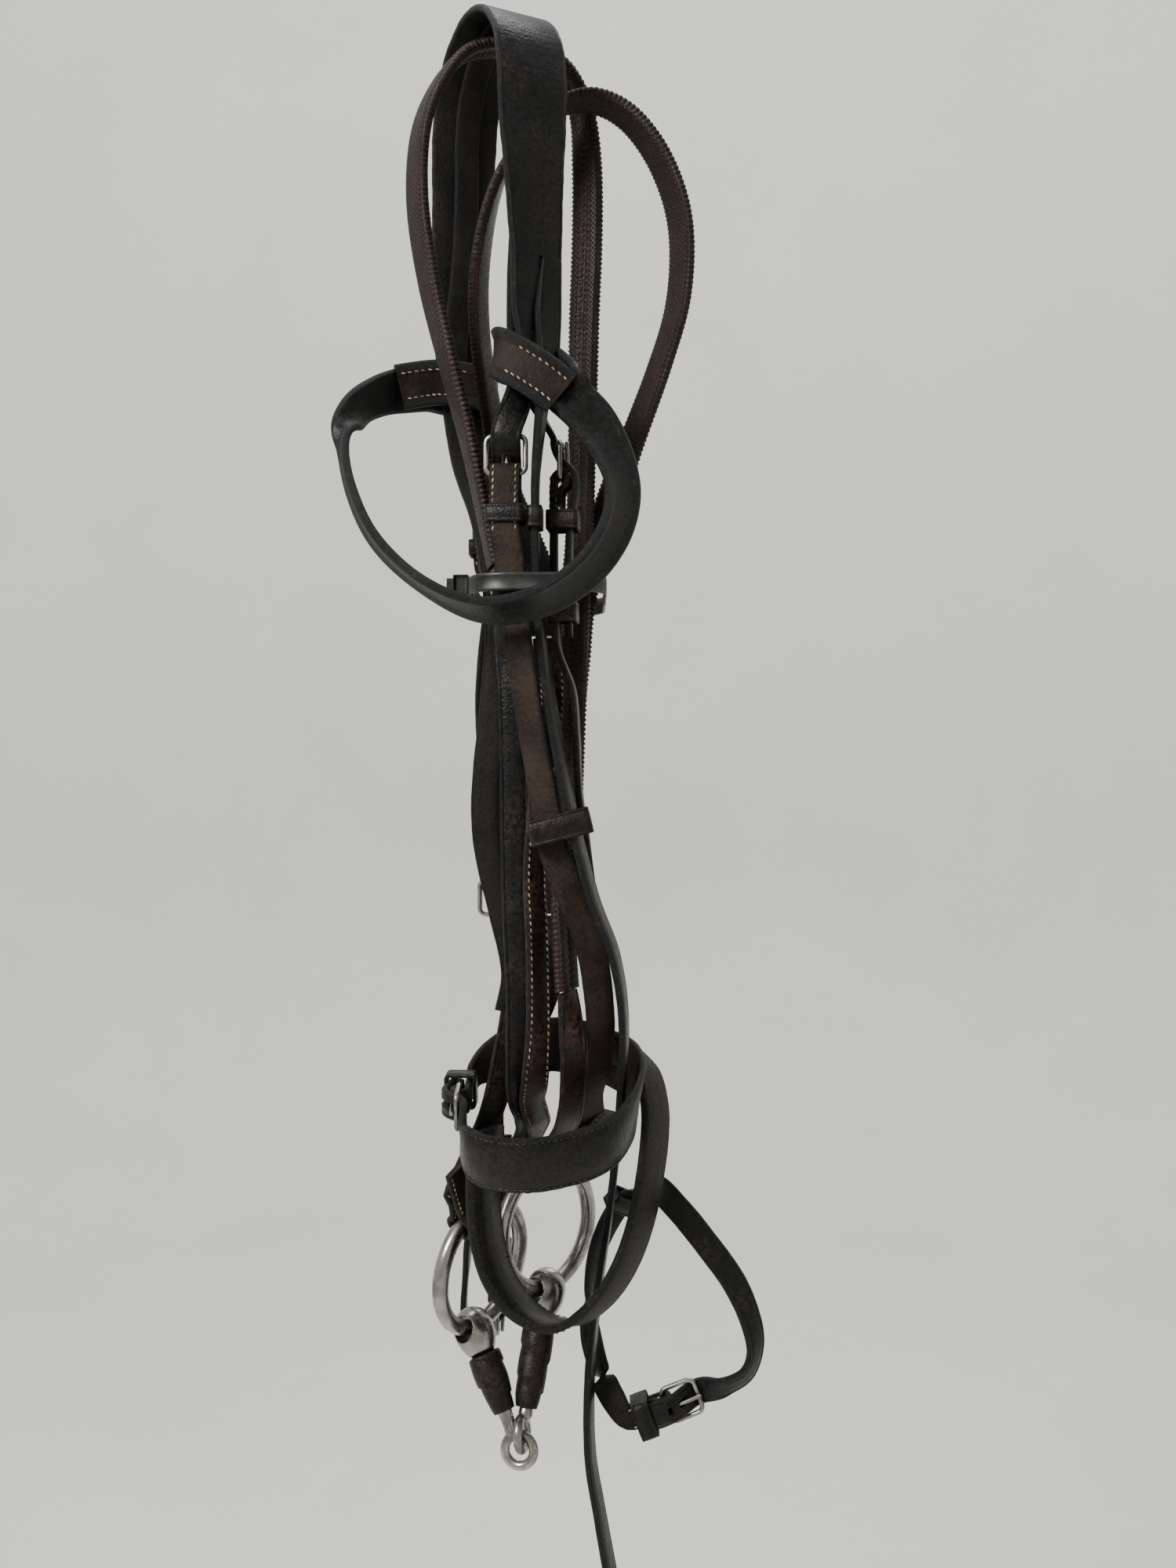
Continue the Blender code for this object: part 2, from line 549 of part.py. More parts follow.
def flash_strap():
    """Narrow strap through the nosepiece tab, buckled into its own loop."""
    turn = list(reversed(buckle_turn(FLASH_BUCKLE, 20)))
    loop = [
        (57, 20, -676, (-0.2, 0.3, 0.95)), (50, 25, -662, (-0.5, 0.4, 0.75)),
        (46, 29, -645, (-0.6, 0.6, 0.4)), (46, 32, -624, (0.3, 0.9, 0)),
        (52, 31, -600, (0.6, 0.6, -0.3)), (63, 28, -580, (0.6, 0.5, -0.5)),
        (77, 21, -570, (0.4, 0.4, 0.8)), (90, 16, -580, (0.65, 0.2, 0.7)),
        (105, 14, -598, (0.7, 0.2, 0.65)), (118, 13, -616, (0.75, 0.35, 0.5)),
        (126, 12, -634, (0.75, 0.6, 0.2)), (128.5, 12, -649, (0.65, 0.75, 0)),
        (124, 11, -661, (0.4, 0.6, -0.5)), (113, 11.5, -667.5, (-0.2, -0.5, 0.8)),
        (104, 15.5, -670.5, (-0.3, 0, 0.9)), (99.5, 16.2, -672, (-0.36, 0, 0.93)),
        (95, 14, -673.8, (-0.36, 0, 0.93)), (89, 8.5, -676, (-0.36, 0, 0.93)),
        (84, 6.4, -678, (-0.36, 0, 0.93)), (77, 7.3, -680.7, (-0.36, 0, 0.93)),
        (68, 9, -684, (-0.36, 0, 0.93), 8)]
    strap("flash_strap", turn + loop, SLIP_WIDTH, LEATHER, steps=3)


def ring(name, frame):
    """Loose ring: a torus on its centre, its axis square to the ring."""
    centre, up, side, normal = frame
    bpy.ops.mesh.primitive_torus_add(major_radius=RING_RADIUS * MM, minor_radius=RING_ROD * MM,
                                     major_segments=36, minor_segments=10)
    made = bpy.context.object
    made.name = name
    made.matrix_world = (Matrix.Translation(centre * MM)
                         @ Matrix((side, up, normal)).transposed().to_4x4())
    for holder in made.users_collection:
        holder.objects.unlink(made)
    BRIDLE.objects.link(made)
    made.data.materials.append(finish_of(name, "steel"))
    made.data.shade_smooth()
    return made


def turned(name, profile, place, finish, segments=16):
    """A shape turned about the local Z axis; the profile is (radius, z), top to bottom."""
    mesh = bpy.data.meshes.new(name)
    bm = bmesh.new()
    spots = [bm.verts.new((r * MM, 0, z * MM)) for r, z in profile]
    for here, there in zip(spots, spots[1:]):
        bm.edges.new((here, there))
    bm.to_mesh(mesh)
    bm.free()
    made = add_object(name, mesh, finish)
    screw = made.modifiers.new("turned", "SCREW")
    screw.steps = segments
    screw.render_steps = segments
    screw.use_merge_vertices = True
    screw.merge_threshold = 0.00005
    made.matrix_world = Matrix.Translation(place.translation * MM) @ place.to_3x3().to_4x4()
    return made


def cut_by(target, operation, tool):
    tool.hide_render = True
    tool.display_type = "WIRE"
    for holder in list(tool.users_collection):
        holder.objects.unlink(tool)
    CUTTERS.objects.link(tool)
    change = target.modifiers.new(operation.lower(), "BOOLEAN")
    change.operation = operation
    change.solver = "EXACT"
    change.object = tool


def cylinder(name, radius, length, place, sides=20):
    bpy.ops.mesh.primitive_cylinder_add(vertices=sides, radius=radius * MM, depth=length * MM)
    made = bpy.context.object
    made.name = name
    made.matrix_world = Matrix.Translation(place.translation * MM) @ place.to_3x3().to_4x4()
    return made


def torus(name, major, minor, place, turns=20):
    bpy.ops.mesh.primitive_torus_add(major_radius=major * MM, minor_radius=minor * MM,
                                     major_segments=turns, minor_segments=8)
    made = bpy.context.object
    made.name = name
    made.matrix_world = Matrix.Translation(place.translation * MM) @ place.to_3x3().to_4x4()
    return made


def axes_from(origin, z_axis, x_hint):
    """Frame at origin with local Z along z_axis and local X near x_hint."""
    z = Vector(z_axis).normalized()
    x = Vector(x_hint)
    x = (x - x.dot(z) * z).normalized()
    return Matrix.Translation(Vector(origin)) @ Matrix((x, z.cross(x), z)).transposed().to_4x4()


def bit_arm(side, boss, frame, loop_normal, end_gap):
    """One half of the mouthpiece: boss with its ring hole, tapered arm, and end loop.

    The leather sleeve wrapped on the arm is a piece of its own.
    """
    along = JOINT - boss
    length = along.length - end_gap
    _, tangent = on_ring(frame, 180)
    place = axes_from(boss, along, tangent)
    arm = turned(f"bit_arm_{side}", [
        (0.0, length - 5.2), (3.5, length - 8.0), (3.3, length - 14.0), (4.0, length - 22.0),
        (4.9, 36.0), (5.2, 24.0), (5.6, 15.0), (7.4, 12.5), (9.4, 8.0), (10.2, 3.0),
        (9.8, -1.5), (7.6, -6.0), (4.0, -8.6), (0.0, -9.5)], place, "steel")
    loop_place = axes_from(boss + along.normalized() * length, loop_normal, along)
    cut_by(arm, "UNION", torus(f"{side}_end_loop", EYE_RADIUS, EYE_ROD, loop_place))
    cut_by(arm, "DIFFERENCE", cylinder(f"{side}_ring_hole", BOSS_HOLE, 40,
                                       axes_from(boss, tangent, along)))
    end = along.length - 20.0
    turned(f"bit_sleeve_{side}", [
        (4.6, end), (5.5, end), (7.4, end - 9.0), (8.6, 26.0), (8.9, 17.0), (8.4, 14.6),
        (6.1, 14.6), (5.9, 20.0), (5.5, 36.0), (4.6, end)], place, "brown_leather", 14)


def bit():
    """Single-jointed snaffle with loose rings and leather-wrapped arms."""
    ring("bit_ring_left", LEFT_RING)
    ring("bit_ring_right", RIGHT_RING)
    bit_arm("left", LEFT_BOSS, LEFT_RING, (-0.25, -1.0, 0.1), 0.0)
    bit_arm("right", RIGHT_BOSS, RIGHT_RING, (1.0, -0.25, 0.1), 7.6)


def cable_tie():
    """Black nylon tie round the bundle, with its square head on the left."""
    place = placed((21.5, -2, -275), DOWN, (0, 1, 0))
    sleeve("cable_tie_band", place, 31, 50, 8.5, 1.3, "black_plastic", corner=18)
    bpy.ops.mesh.primitive_cube_add(size=1)
    head = bpy.context.object
    head.name = "cable_tie_head"
    for holder in list(head.users_collection):
        holder.objects.unlink(head)
    BRIDLE.objects.link(head)
    head.scale = (7.4 * MM, 11.0 * MM, 12.0 * MM)
    head.location = Vector((21.5 - 31 - 1.3 - 0.3 - 3.7, -24, -274.5)) * MM
    bpy.ops.object.transform_apply(location=False, rotation=False, scale=True)
    edge = head.modifiers.new("edges", "BEVEL")
    edge.width = 0.0008
    edge.segments = 1
    head.data.materials.append(finish_of("cable_tie_head", "black_plastic"))


def keepers():
    """Leather keepers that hold the strap ends, each free to slide along its straps."""
    sleeve("cheek_right_fixed_keeper", placed((7.2, -42.0, -243), DOWN, (0.1, 1, 0)),
           7.7, 6.6, 8, 1.2)
    sleeve("cheek_right_lower_keeper", placed((32.3, -45.4, -386.5), (0.25, 0, -1), (0, 1, 0)),
           13.0, 7.6, 12, 1.6, "brown_leather")
    sleeve("throatlash_keeper", placed((20.6, -39.5, -244), DOWN, (1, -0.03, 0)), 7.1, 2.3, 10, 1.2)
    sleeve("sliphead_fixed_keeper", placed((33.3, -26, -243), DOWN, (1, -0.09, 0)),
           7.2, 6.4, 9, 1.3, "brown_leather")
    sleeve("sliphead_sliding_keeper", placed((33.2, -26.6, -286), (0.02, 0, -1), (1, -0.09, 0)),
           7.6, 5.6, 10, 1.4, "brown_leather")
    sleeve("cheek_left_fixed_keeper", placed((-7.3, 40.9, -245), DOWN, (0, 1, 0)),
           7.8, 6.6, 8, 1.5)
    sleeve("noseband_jaw_keeper", placed((-18, 8.6, -518.8), (0.05, 1, 0.14), (-1, 0.05, 0)),
           7.4, 6.4, 9, 1.5)
    sleeve("flash_keeper", placed((73.2, 12.3, -682.2), (-0.93, 0.03, -0.36), (0.1, -1, 0)),
           8.0, 6.9, 9, 1.5)
    sleeve("rein_keeper", placed((-2.9, 60, -615.2), UP, (1, 0, 0)), 8.0, 5.8, 9, 1.6,
           "rein_leather")
    along = Vector((25, -10, 30))
    width = Vector((0.6, 0.5, -0.5))
    sleeve("flash_tab", placed((63, 28, -580), along, width.cross(along)), 7.8, 3.2, 10, 1.4)


def tongue_slots():
    """Open the straps under each tongue, so that it can swing on its bar."""
    cuts = [
        (NEAR_BUCKLE, "near", ("headpiece", "cheekpiece_right")),
        (SLIP_BUCKLE, "slip", ("noseband_sliphead", "noseband_cheek_right")),
        (FAR_BUCKLE, "far", ("headpiece", "cheekpiece_left")),
        (JAW_BUCKLE, "jaw", ("noseband_jaw_strap", "noseband_jaw_buckle_strap")),
        (FLASH_BUCKLE, "flash", ("flash_strap",)),
        (REIN_BUCKLE, "rein", ("rein_hand_left", "rein_hand_right")),
        (THROAT_BUCKLE, "throat", ("headpiece",)),
    ]
    for place, label, names in cuts:
        bpy.ops.mesh.primitive_cube_add(size=1)
        slot = bpy.context.object
        slot.name = f"{label}_slot"
        slot.scale = (3.5 * MM, 16.7 * MM, 14.3 * MM)
        bpy.ops.object.transform_apply(location=False, rotation=False, scale=True)
        centre = place @ Vector((0, 3.9, 7.2))
        slot.matrix_world = Matrix.Translation(centre * MM) @ place.to_3x3().to_4x4()
        for name in names:
            leather = bpy.data.objects[name]
            if "flat" not in leather.modifiers:
                leather.modifiers.new("flat", "TRIANGULATE")
            cut_by(leather, "DIFFERENCE", slot)


def buckles():
    buckle("cheek_right", NEAR_BUCKLE, CHEEK_WIDTH)
    buckle("sliphead", SLIP_BUCKLE, SLIP_WIDTH)
    buckle("cheek_left", FAR_BUCKLE, CHEEK_WIDTH)
    buckle("throatlash", THROAT_BUCKLE, SLIP_WIDTH)
    buckle("noseband_jaw", JAW_BUCKLE, SLIP_WIDTH)
    buckle("flash", FLASH_BUCKLE, SLIP_WIDTH)
    buckle("rein", REIN_BUCKLE, REIN_WIDTH)


clear_scene()
BRIDLE = new_collection("snaffle_bridle")
CUTTERS = new_collection("cutters")
FAR_THROATLASH += buckle_turn(THROAT_BUCKLE, 10)
headpiece()
sliphead()
browband()
cheekpieces()
noseband_strap()
reins()
noseband()
flash_strap()
bit()
buckles()
keepers()
cable_tie()
tongue_slots()
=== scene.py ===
"""Snaffle bridle hung by its crown: two reins looped through it and the bundle tied.

The section order is the order in which a saddler puts the bridle together.
"""
import math

import bmesh
import bpy
from mathutils import Matrix, Vector


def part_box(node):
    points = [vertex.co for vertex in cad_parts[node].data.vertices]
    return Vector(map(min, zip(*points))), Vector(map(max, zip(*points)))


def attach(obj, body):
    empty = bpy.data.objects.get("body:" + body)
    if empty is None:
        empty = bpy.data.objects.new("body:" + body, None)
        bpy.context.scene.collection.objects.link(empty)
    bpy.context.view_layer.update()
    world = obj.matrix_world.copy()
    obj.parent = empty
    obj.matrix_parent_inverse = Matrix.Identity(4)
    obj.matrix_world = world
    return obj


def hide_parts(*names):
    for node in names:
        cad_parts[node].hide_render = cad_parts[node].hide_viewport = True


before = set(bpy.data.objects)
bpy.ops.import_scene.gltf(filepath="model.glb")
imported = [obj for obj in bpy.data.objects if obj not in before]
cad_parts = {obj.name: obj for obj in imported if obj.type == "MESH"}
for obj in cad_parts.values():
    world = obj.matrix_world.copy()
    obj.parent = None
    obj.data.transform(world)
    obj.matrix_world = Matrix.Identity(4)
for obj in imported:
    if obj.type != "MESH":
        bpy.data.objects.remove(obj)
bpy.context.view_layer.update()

# --- Camera -----------------------------------------------------------------------------
# Level with the middle of the bridle and straight in front of it.

eye = bpy.data.objects.new("eye", bpy.data.cameras.new("eye"))
bpy.context.scene.collection.objects.link(eye)
bpy.context.scene.camera = eye
eye.location = (0.045, -0.70, -0.367)
eye.rotation_euler = (math.pi / 2, 0, 0)
eye.data.sensor_width = 36
eye.data.lens = 32.76
eye.data.clip_start = 0.01


# --- Floor, backdrop and light ----------------------------------------------------------
# A pale floor well below the bridle that sweeps up into a pale backdrop, lit from above
# by the sky and from high on the left by one large soft window.

def paint(name):
    """A new material, its node tree and its shader."""
    made = bpy.data.materials.new(name)
    made.use_nodes = True
    return made, made.node_tree, made.node_tree.nodes["Principled BSDF"]


def add(tree, kind, feeds=(), **settings):
    """A new node; feeds pairs one of its inputs with a value or another node's output."""
    made = tree.nodes.new(kind)
    for key, value in settings.items():
        setattr(made, key, value)
    for key, value in feeds:
        if isinstance(value, bpy.types.NodeSocket):
            tree.links.new(value, made.inputs[key])
        else:
            made.inputs[key].default_value = value
    return made


def noise(tree, where, scale, detail=3.0, rough=0.55):
    made = add(tree, "ShaderNodeTexNoise",
               [("Vector", where), ("Scale", scale), ("Detail", detail), ("Roughness", rough)])
    return made.outputs["Fac"]


def level(tree, value, low, high, to_low=0.0, to_high=1.0):
    """A value moved from one range to another and held inside it."""
    made = add(tree, "ShaderNodeMapRange", [
        ("Value", value), ("From Min", low), ("From Max", high),
        ("To Min", to_low), ("To Max", to_high)])
    return made.outputs["Result"]


def times(tree, first, second):
    return add(tree, "ShaderNodeMath", [(0, first), (1, second)], operation="MULTIPLY").outputs[0]


def plus(tree, first, second):
    return add(tree, "ShaderNodeMath", [(0, first), (1, second)], operation="ADD").outputs[0]


def mixed(tree, factor, first, second):
    """Two colours mixed; each is a colour or another node's output."""
    colours = []
    for colour in (first, second):
        colours.append(colour if isinstance(colour, bpy.types.NodeSocket) else (*colour, 1.0))
    made = add(tree, "ShaderNodeMix", [(0, factor), (6, colours[0]), (7, colours[1])],
               data_type="RGBA")
    return made.outputs[2]


def bumped(tree, height, distance, before=None, strength=1.0):
    feeds = [("Height", height), ("Distance", distance), ("Strength", strength)]
    if before is not None:
        feeds.append(("Normal", before))
    return add(tree, "ShaderNodeBump", feeds).outputs["Normal"]


def add_object(name, mesh, material):
    made = bpy.data.objects.new(name, mesh)
    bpy.context.scene.collection.objects.link(made)
    made.data.materials.append(material)
    return made


def plaster():
    """Pale painted wall with a faint woven lining under the paint."""
    made, tree, shader = paint("pale_wall")
    where = add(tree, "ShaderNodeTexCoord").outputs["Object"]
    patches = noise(tree, where, 3.0)
    fine = noise(tree, where, 260.0, 2.0)
    colour = mixed(tree, patches, (0.66, 0.655, 0.62), (0.74, 0.735, 0.70))
    tree.links.new(colour, shader.inputs["Base Color"])
    shader.inputs["Roughness"].default_value = 0.8
    tree.links.new(bumped(tree, fine, 0.0006), shader.inputs["Normal"])
    return made


# The sweep is a round one, so that the bridle can be walked round.
sweep_work = bmesh.new()
FLOOR, FLAT, BEND, BACKDROP_TOP = -1.30, 2.3, 0.8, 2.6
line = [(0.0, FLOOR), (FLAT, FLOOR)]
for step in range(1, 13):
    angle = math.radians(90 * step / 12)
    line.append((FLAT + BEND * math.sin(angle), FLOOR + BEND - BEND * math.cos(angle)))
line.append((FLAT + BEND, BACKDROP_TOP))
spots = [sweep_work.verts.new((radius, 0, height)) for radius, height in line]
edges = [sweep_work.edges.new(pair) for pair in zip(spots, spots[1:])]
bmesh.ops.spin(sweep_work, geom=spots + edges, axis=(0, 0, 1), cent=(0, 0, 0), steps=96,
               angle=2 * math.pi, use_merge=True)
bmesh.ops.remove_doubles(sweep_work, verts=sweep_work.verts, dist=1e-5)
bmesh.ops.recalc_face_normals(sweep_work, faces=sweep_work.faces)
bmesh.ops.reverse_faces(sweep_work, faces=sweep_work.faces)
sweep_mesh = bpy.data.meshes.new("floor_and_backdrop")
sweep_work.to_mesh(sweep_mesh)
sweep_work.free()
sweep_mesh.shade_smooth()
add_object("floor_and_backdrop", sweep_mesh, plaster())


def lamp(name, place, aim, size, power, colour):
    light = bpy.data.lights.new(name, "AREA")
    light.shape = "DISK"
    light.size = size
    light.energy = power
    light.color = colour
    made = bpy.data.objects.new(name, light)
    bpy.context.scene.collection.objects.link(made)
    made.location = place
    made.rotation_euler = (Vector(aim) - Vector(place)).to_track_quat("-Z", "Y").to_euler()


lamp("window", (-1.0, -1.15, 0.55), (0.05, 0, -0.35), 0.60, 50, (1.0, 0.985, 0.96))
lamp("backdrop", (0.0, 0.6, 2.4), (0.3, 3.0, -0.4), 1.8, 60, (1.0, 0.995, 0.98))
lamp("far_fill", (0.6, 1.9, 0.9), (0.0, 0, -0.4), 1.0, 9, (1.0, 0.99, 0.97))
sky = bpy.data.worlds.new("room")
sky.use_nodes = True
sky.node_tree.nodes["Background"].inputs["Color"].default_value = (0.88, 0.90, 0.92, 1)
sky.node_tree.nodes["Background"].inputs["Strength"].default_value = 0.9
bpy.context.scene.world = sky


# --- Headpiece --------------------------------------------------------------------------
# One strap of black bridle leather over the poll, 35 mm wide.  Each leg is split into a
# cheek billet and a throatlash strap; a crease is ironed in along both edges.

MM = 0.001
HEAD_THICK = 3.5      # thickness of the headpiece and its legs, mm
LEATHER = 3.0         # thickness of every other strap, mm
WIRE = 1.25           # radius of a buckle's wire, mm
CROWN_RADIUS = 38.5   # inside of the sliphead over the peg, mm
CROWN_TURN = 26.0     # heading of the straps over the peg, degrees
SLOT_HALF = 1.75      # half the width of a tongue's slot, mm
SLOT_START, SLOT_STOP = -4.6, 12.4   # reach of the slot along its buckle, mm
SLOT_HIGH = 14.3      # highest that a slotted strap lies over its buckle, mm


def leather(name, grain, worn, flesh, shine=0.42, wear=1.0):
    """Oiled leather: fine pores, patches that rub paler, dark edges and a napped back."""
    made, tree, shader = paint(name)
    where = add(tree, "ShaderNodeTexCoord").outputs["Object"]
    edge, back, run, off = (
        add(tree, "ShaderNodeAttribute", attribute_name=label).outputs["Fac"]
        for label in ("edge", "back", "run", "off"))
    along = add(tree, "ShaderNodeCombineXYZ", [(0, run), (1, off), (2, back)]).outputs[0]
    flow = add(tree, "ShaderNodeMapping", [("Vector", along), ("Scale", (1.0, 0.22, 1.0))])
    streaks = noise(tree, flow.outputs[0], 420.0, 3.0)
    patches = noise(tree, where, 42.0, 5.0, 0.6)
    mottle = noise(tree, where, 520.0, 3.0)
    pores = add(tree, "ShaderNodeTexVoronoi", [("Vector", where), ("Scale", 1250.0)],
                feature="SMOOTH_F1").outputs["Distance"]
    dark = tuple(c * 0.35 for c in grain)
    face = mixed(tree, level(tree, mottle, 0.36, 0.64), dark, grain)
    rubbed = times(tree, level(tree, patches, 0.46, 0.66), level(tree, mottle, 0.40, 0.58))
    rubbed = times(tree, rubbed, wear)
    face = mixed(tree, rubbed, face, worn)
    nap = mixed(tree, level(tree, plus(tree, patches, times(tree, mottle, 0.6)), 0.64, 0.92),
                tuple(c * 0.30 for c in flesh), tuple(c * 1.15 for c in flesh))
    colour = mixed(tree, level(tree, back, 0.45, 0.75), face, nap)
    rim = times(tree, level(tree, edge, 0.5, 0.9), level(tree, patches, 0.35, 0.6, 0.9, 0.45))
    colour = mixed(tree, rim, colour, (0.009, 0.011, 0.012))
    scuffed = times(tree, level(tree, edge, 0.3, 0.6), level(tree, mottle, 0.56, 0.70, 0.0, 0.75))
    colour = mixed(tree, scuffed, colour, tuple(c * 1.25 for c in worn))
    tree.links.new(colour, shader.inputs["Base Color"])
    rough = level(tree, plus(tree, mottle, times(tree, patches, 0.6)), 0.5, 1.1,
                  shine - 0.08, shine + 0.14)
    tree.links.new(plus(tree, rough, times(tree, back, 0.24)), shader.inputs["Roughness"])
    shader.inputs["Specular IOR Level"].default_value = 0.17
    bump = bumped(tree, pores, 0.00016)
    bump = bumped(tree, streaks, 0.00030, bump)
    nap_height = times(tree, mottle, level(tree, back, 0.3, 0.8, 0.25, 1.0))
    bump = bumped(tree, nap_height, 0.00045, bump)
    tree.links.new(bump, shader.inputs["Normal"])
    return made


def across(heading):
    """Width direction: a heading in degrees for a strap that hangs, or a vector as given."""
    if isinstance(heading, (int, float)):
        turn = math.radians(heading)
        return Vector((math.cos(turn), math.sin(turn), 0.0))
    return Vector(heading).normalized()


def smooth_line(stops, steps):
    """Smooth curve through the stops; each stop is a list of numbers of one length."""
    line = []
    last = len(stops) - 1
    for index in range(last):
        before = stops[max(index - 1, 0)]
        here = stops[index]
        there = stops[index + 1]
        after = stops[min(index + 2, last)]
        for step in range(steps):
            t = step / steps
            line.append([
                0.5 * (2 * b + (c - a) * t + (2 * a - 5 * b + 4 * c - d) * t * t
                       + (3 * b - a - 3 * c + d) * t ** 3)
                for a, b, c, d in zip(before, here, there, after)
            ])
    line.append(list(stops[last]))
    return line


def lay(stops, width, pace=2.0, grain=1):
    """Where a strap lies, in mm: (point, side, outward, width, run) every `pace` or so.

    A stop is (x, y, z, heading), or (x, y, z, heading, width) where the strap narrows.
    """
    rows = []
    for stop in stops:
        side = across(stop[3])
        if rows and side.dot(Vector(rows[-1][3:6])) < 0:
            side = -side
        rows.append([*stop[:3], *side, *(stop[4:] or (width,))])
    fine = smooth_line(rows, 10)
    runs = [0.0]
    for here, there in zip(fine, fine[1:]):
        runs.append(runs[-1] + (Vector(there[:3]) - Vector(here[:3])).length)
    count = max(2, round(runs[-1] / pace))
    places = []
    at = 0
    for index in range(count + 1):
        run = runs[-1] * index / count
        while at < len(runs) - 2 and runs[at + 1] < run:
            at += 1
        t = (run - runs[at]) / max(runs[at + 1] - runs[at], 1e-6)
        row = [a + (b - a) * t for a, b in zip(fine[at], fine[at + 1])]
        places.append((Vector(row[:3]), Vector(row[3:6]), row[6], run))
    laid = []
    for index, (point, side, wide, run) in enumerate(places):
        ahead = places[min(index + 1, count)][0]
        behind = places[max(index - 1, 0)][0]
        along = (ahead - behind).normalized()
        side = (side - side.dot(along) * along).normalized()
        laid.append((point, side, along.cross(side) * grain, wide, run))
    return laid


def strap_section(width, thick, crease=0.25, crown=0.0):
    """Section of a strap in mm: (across, out, edge, back) from its left edge over the grain."""
    half, high = width / 2, thick / 2
    r = high * 0.75
    turn = r * 0.7
    groove = min(1.9, half * 0.4)
    up = [(-half, high - r, 1.0, 0.5), (-half + r - turn, high - r + turn, 0.9, 0.2),
          (-half + r, high, 0.5, 0.0), (-half + groove - 0.3, high, 0.25, 0.0),
          (-half + groove, high - crease, 0.3, 0.0), (-half + groove + 0.5, high, 0.0, 0.0),
          (-1.7, high + crown, 0.0, 0.0)]
    over = [*up, (0.0, high + crown, 0.0, 0.0)]
    over += [(-x, z, edge, back) for x, z, edge, back in reversed(up)]
    under = [(half, r - high, 1.0, 0.6), (half - r + turn, r - high - turn, 0.8, 0.9),
             (half - r, -high, 0.3, 1.0), (1.7, -high, 0.0, 1.0)]
    under += [(0.0, -high, 0.0, 1.0)]
    under += [(-x, z, edge, back) for x, z, edge, back in reversed(under[:4])]
    return over + under


def new_work():
    """An empty piece of work with the marks that the finishes read."""
    work = bmesh.new()
    for label in ("edge", "back", "run", "off"):
        work.verts.layers.float.new(label)
    return work


def sweep(work, laid, section_at, closed=False):
    """A sheet cut as long as the strap, bent into its section and laid along its route."""
    marks = [work.verts.layers.float[label] for label in ("edge", "back", "run", "off")]
    rows = len(laid) - 1
    sections = [section_at(wide, run) for _, _, _, wide, run in laid]
    columns = len(sections[0])
    made = bmesh.ops.create_grid(work, x_segments=rows, y_segments=columns, size=1.0)["verts"]
    for vert in made:
        row = round((vert.co.x + 1) / 2 * rows)
        column = round((vert.co.y + 1) / 2 * columns) % columns
        point, side, out, _, run = laid[row]
        x, z, edge, back = sections[row][column]
        vert.co = (point + side * x + out * z) * MM
        for mark, value in zip(marks, (edge, back, run * MM, x * MM)):
            vert[mark] = value
    bmesh.ops.remove_doubles(work, verts=made, dist=1e-7)
    made = [v for v in made if v.is_valid]
    if not closed:
        rims = [e for e in work.edges if e.is_boundary]
        bmesh.ops.holes_fill(work, edges=rims)
    return made


def slot_out(work, laid, frames):
    """Cut the slot for each buckle's tongue through a strap that lies round its bar."""
    for place in frames:
        back_to_buckle = place.inverted()
        rows = [item for item in laid
                if SLOT_START < (back_to_buckle @ item[0]).y < SLOT_STOP
                and -0.2 < (back_to_buckle @ item[0]).z < SLOT_HIGH]
        if not rows:
            continue
        doomed = []
        for face in work.faces:
            local = back_to_buckle @ (face.calc_center_median() / MM)
            inside = abs(local.x) < SLOT_HALF and SLOT_START < local.y < SLOT_STOP
            if inside and -2.0 < local.z < SLOT_HIGH and len(face.verts) == 4:
                doomed.append(face)
        runs = {round(item[4] * MM, 7) for item in rows}
        run = work.verts.layers.float["run"]
        doomed = [f for f in doomed if all(round(v[run], 7) in runs for v in f.verts)]
        bmesh.ops.delete(work, geom=doomed, context="FACES_ONLY")
        rims = [e for e in work.edges if e.is_boundary]
        if rims:
            bmesh.ops.bridge_loops(work, edges=rims)


def finish_piece(name, work, material, body, nodes, smooth=True):
    """Turn finished work into a piece that rides with a body and stands for CAD nodes."""
    loose = [e for e in work.edges if not e.link_faces]
    bmesh.ops.delete(work, geom=loose, context="EDGES")
    bmesh.ops.recalc_face_normals(work, faces=work.faces)
    mesh = bpy.data.meshes.new(name)
    work.to_mesh(mesh)
    work.free()
    made = add_object(name, mesh, material)
    if smooth:
        mesh.shade_smooth()
        mesh.set_sharp_from_angle(angle=math.radians(52))
    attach(made, body)
    if nodes:
        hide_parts(*nodes)
    return made


def tapered(laid, length=8.0):
    """Round off the width of a strap towards the free end of its route."""
    total = laid[-1][4]
    shaped = []
    for point, side, out, wide, run in laid:
        near = min(length, total - run)
        share = math.sqrt(max(0.0, 1 - (1 - near / length) ** 2))
        shaped.append((point, side, out, wide * max(share, 0.25), run))
    return shaped


def strap_work(work, laid, thick, frames=(), crease=0.25):
    """A whole strap, a little uneven in width and thickness, slotted where it is buckled."""
    sweep(work, laid, lambda wide, run: strap_section(
        wide * (1 + 0.006 * math.sin(run * 0.31) + 0.004 * math.sin(run * 0.83)),
        thick * (1 + 0.02 * math.sin(run * 0.47)), crease))
    slot_out(work, laid, frames)


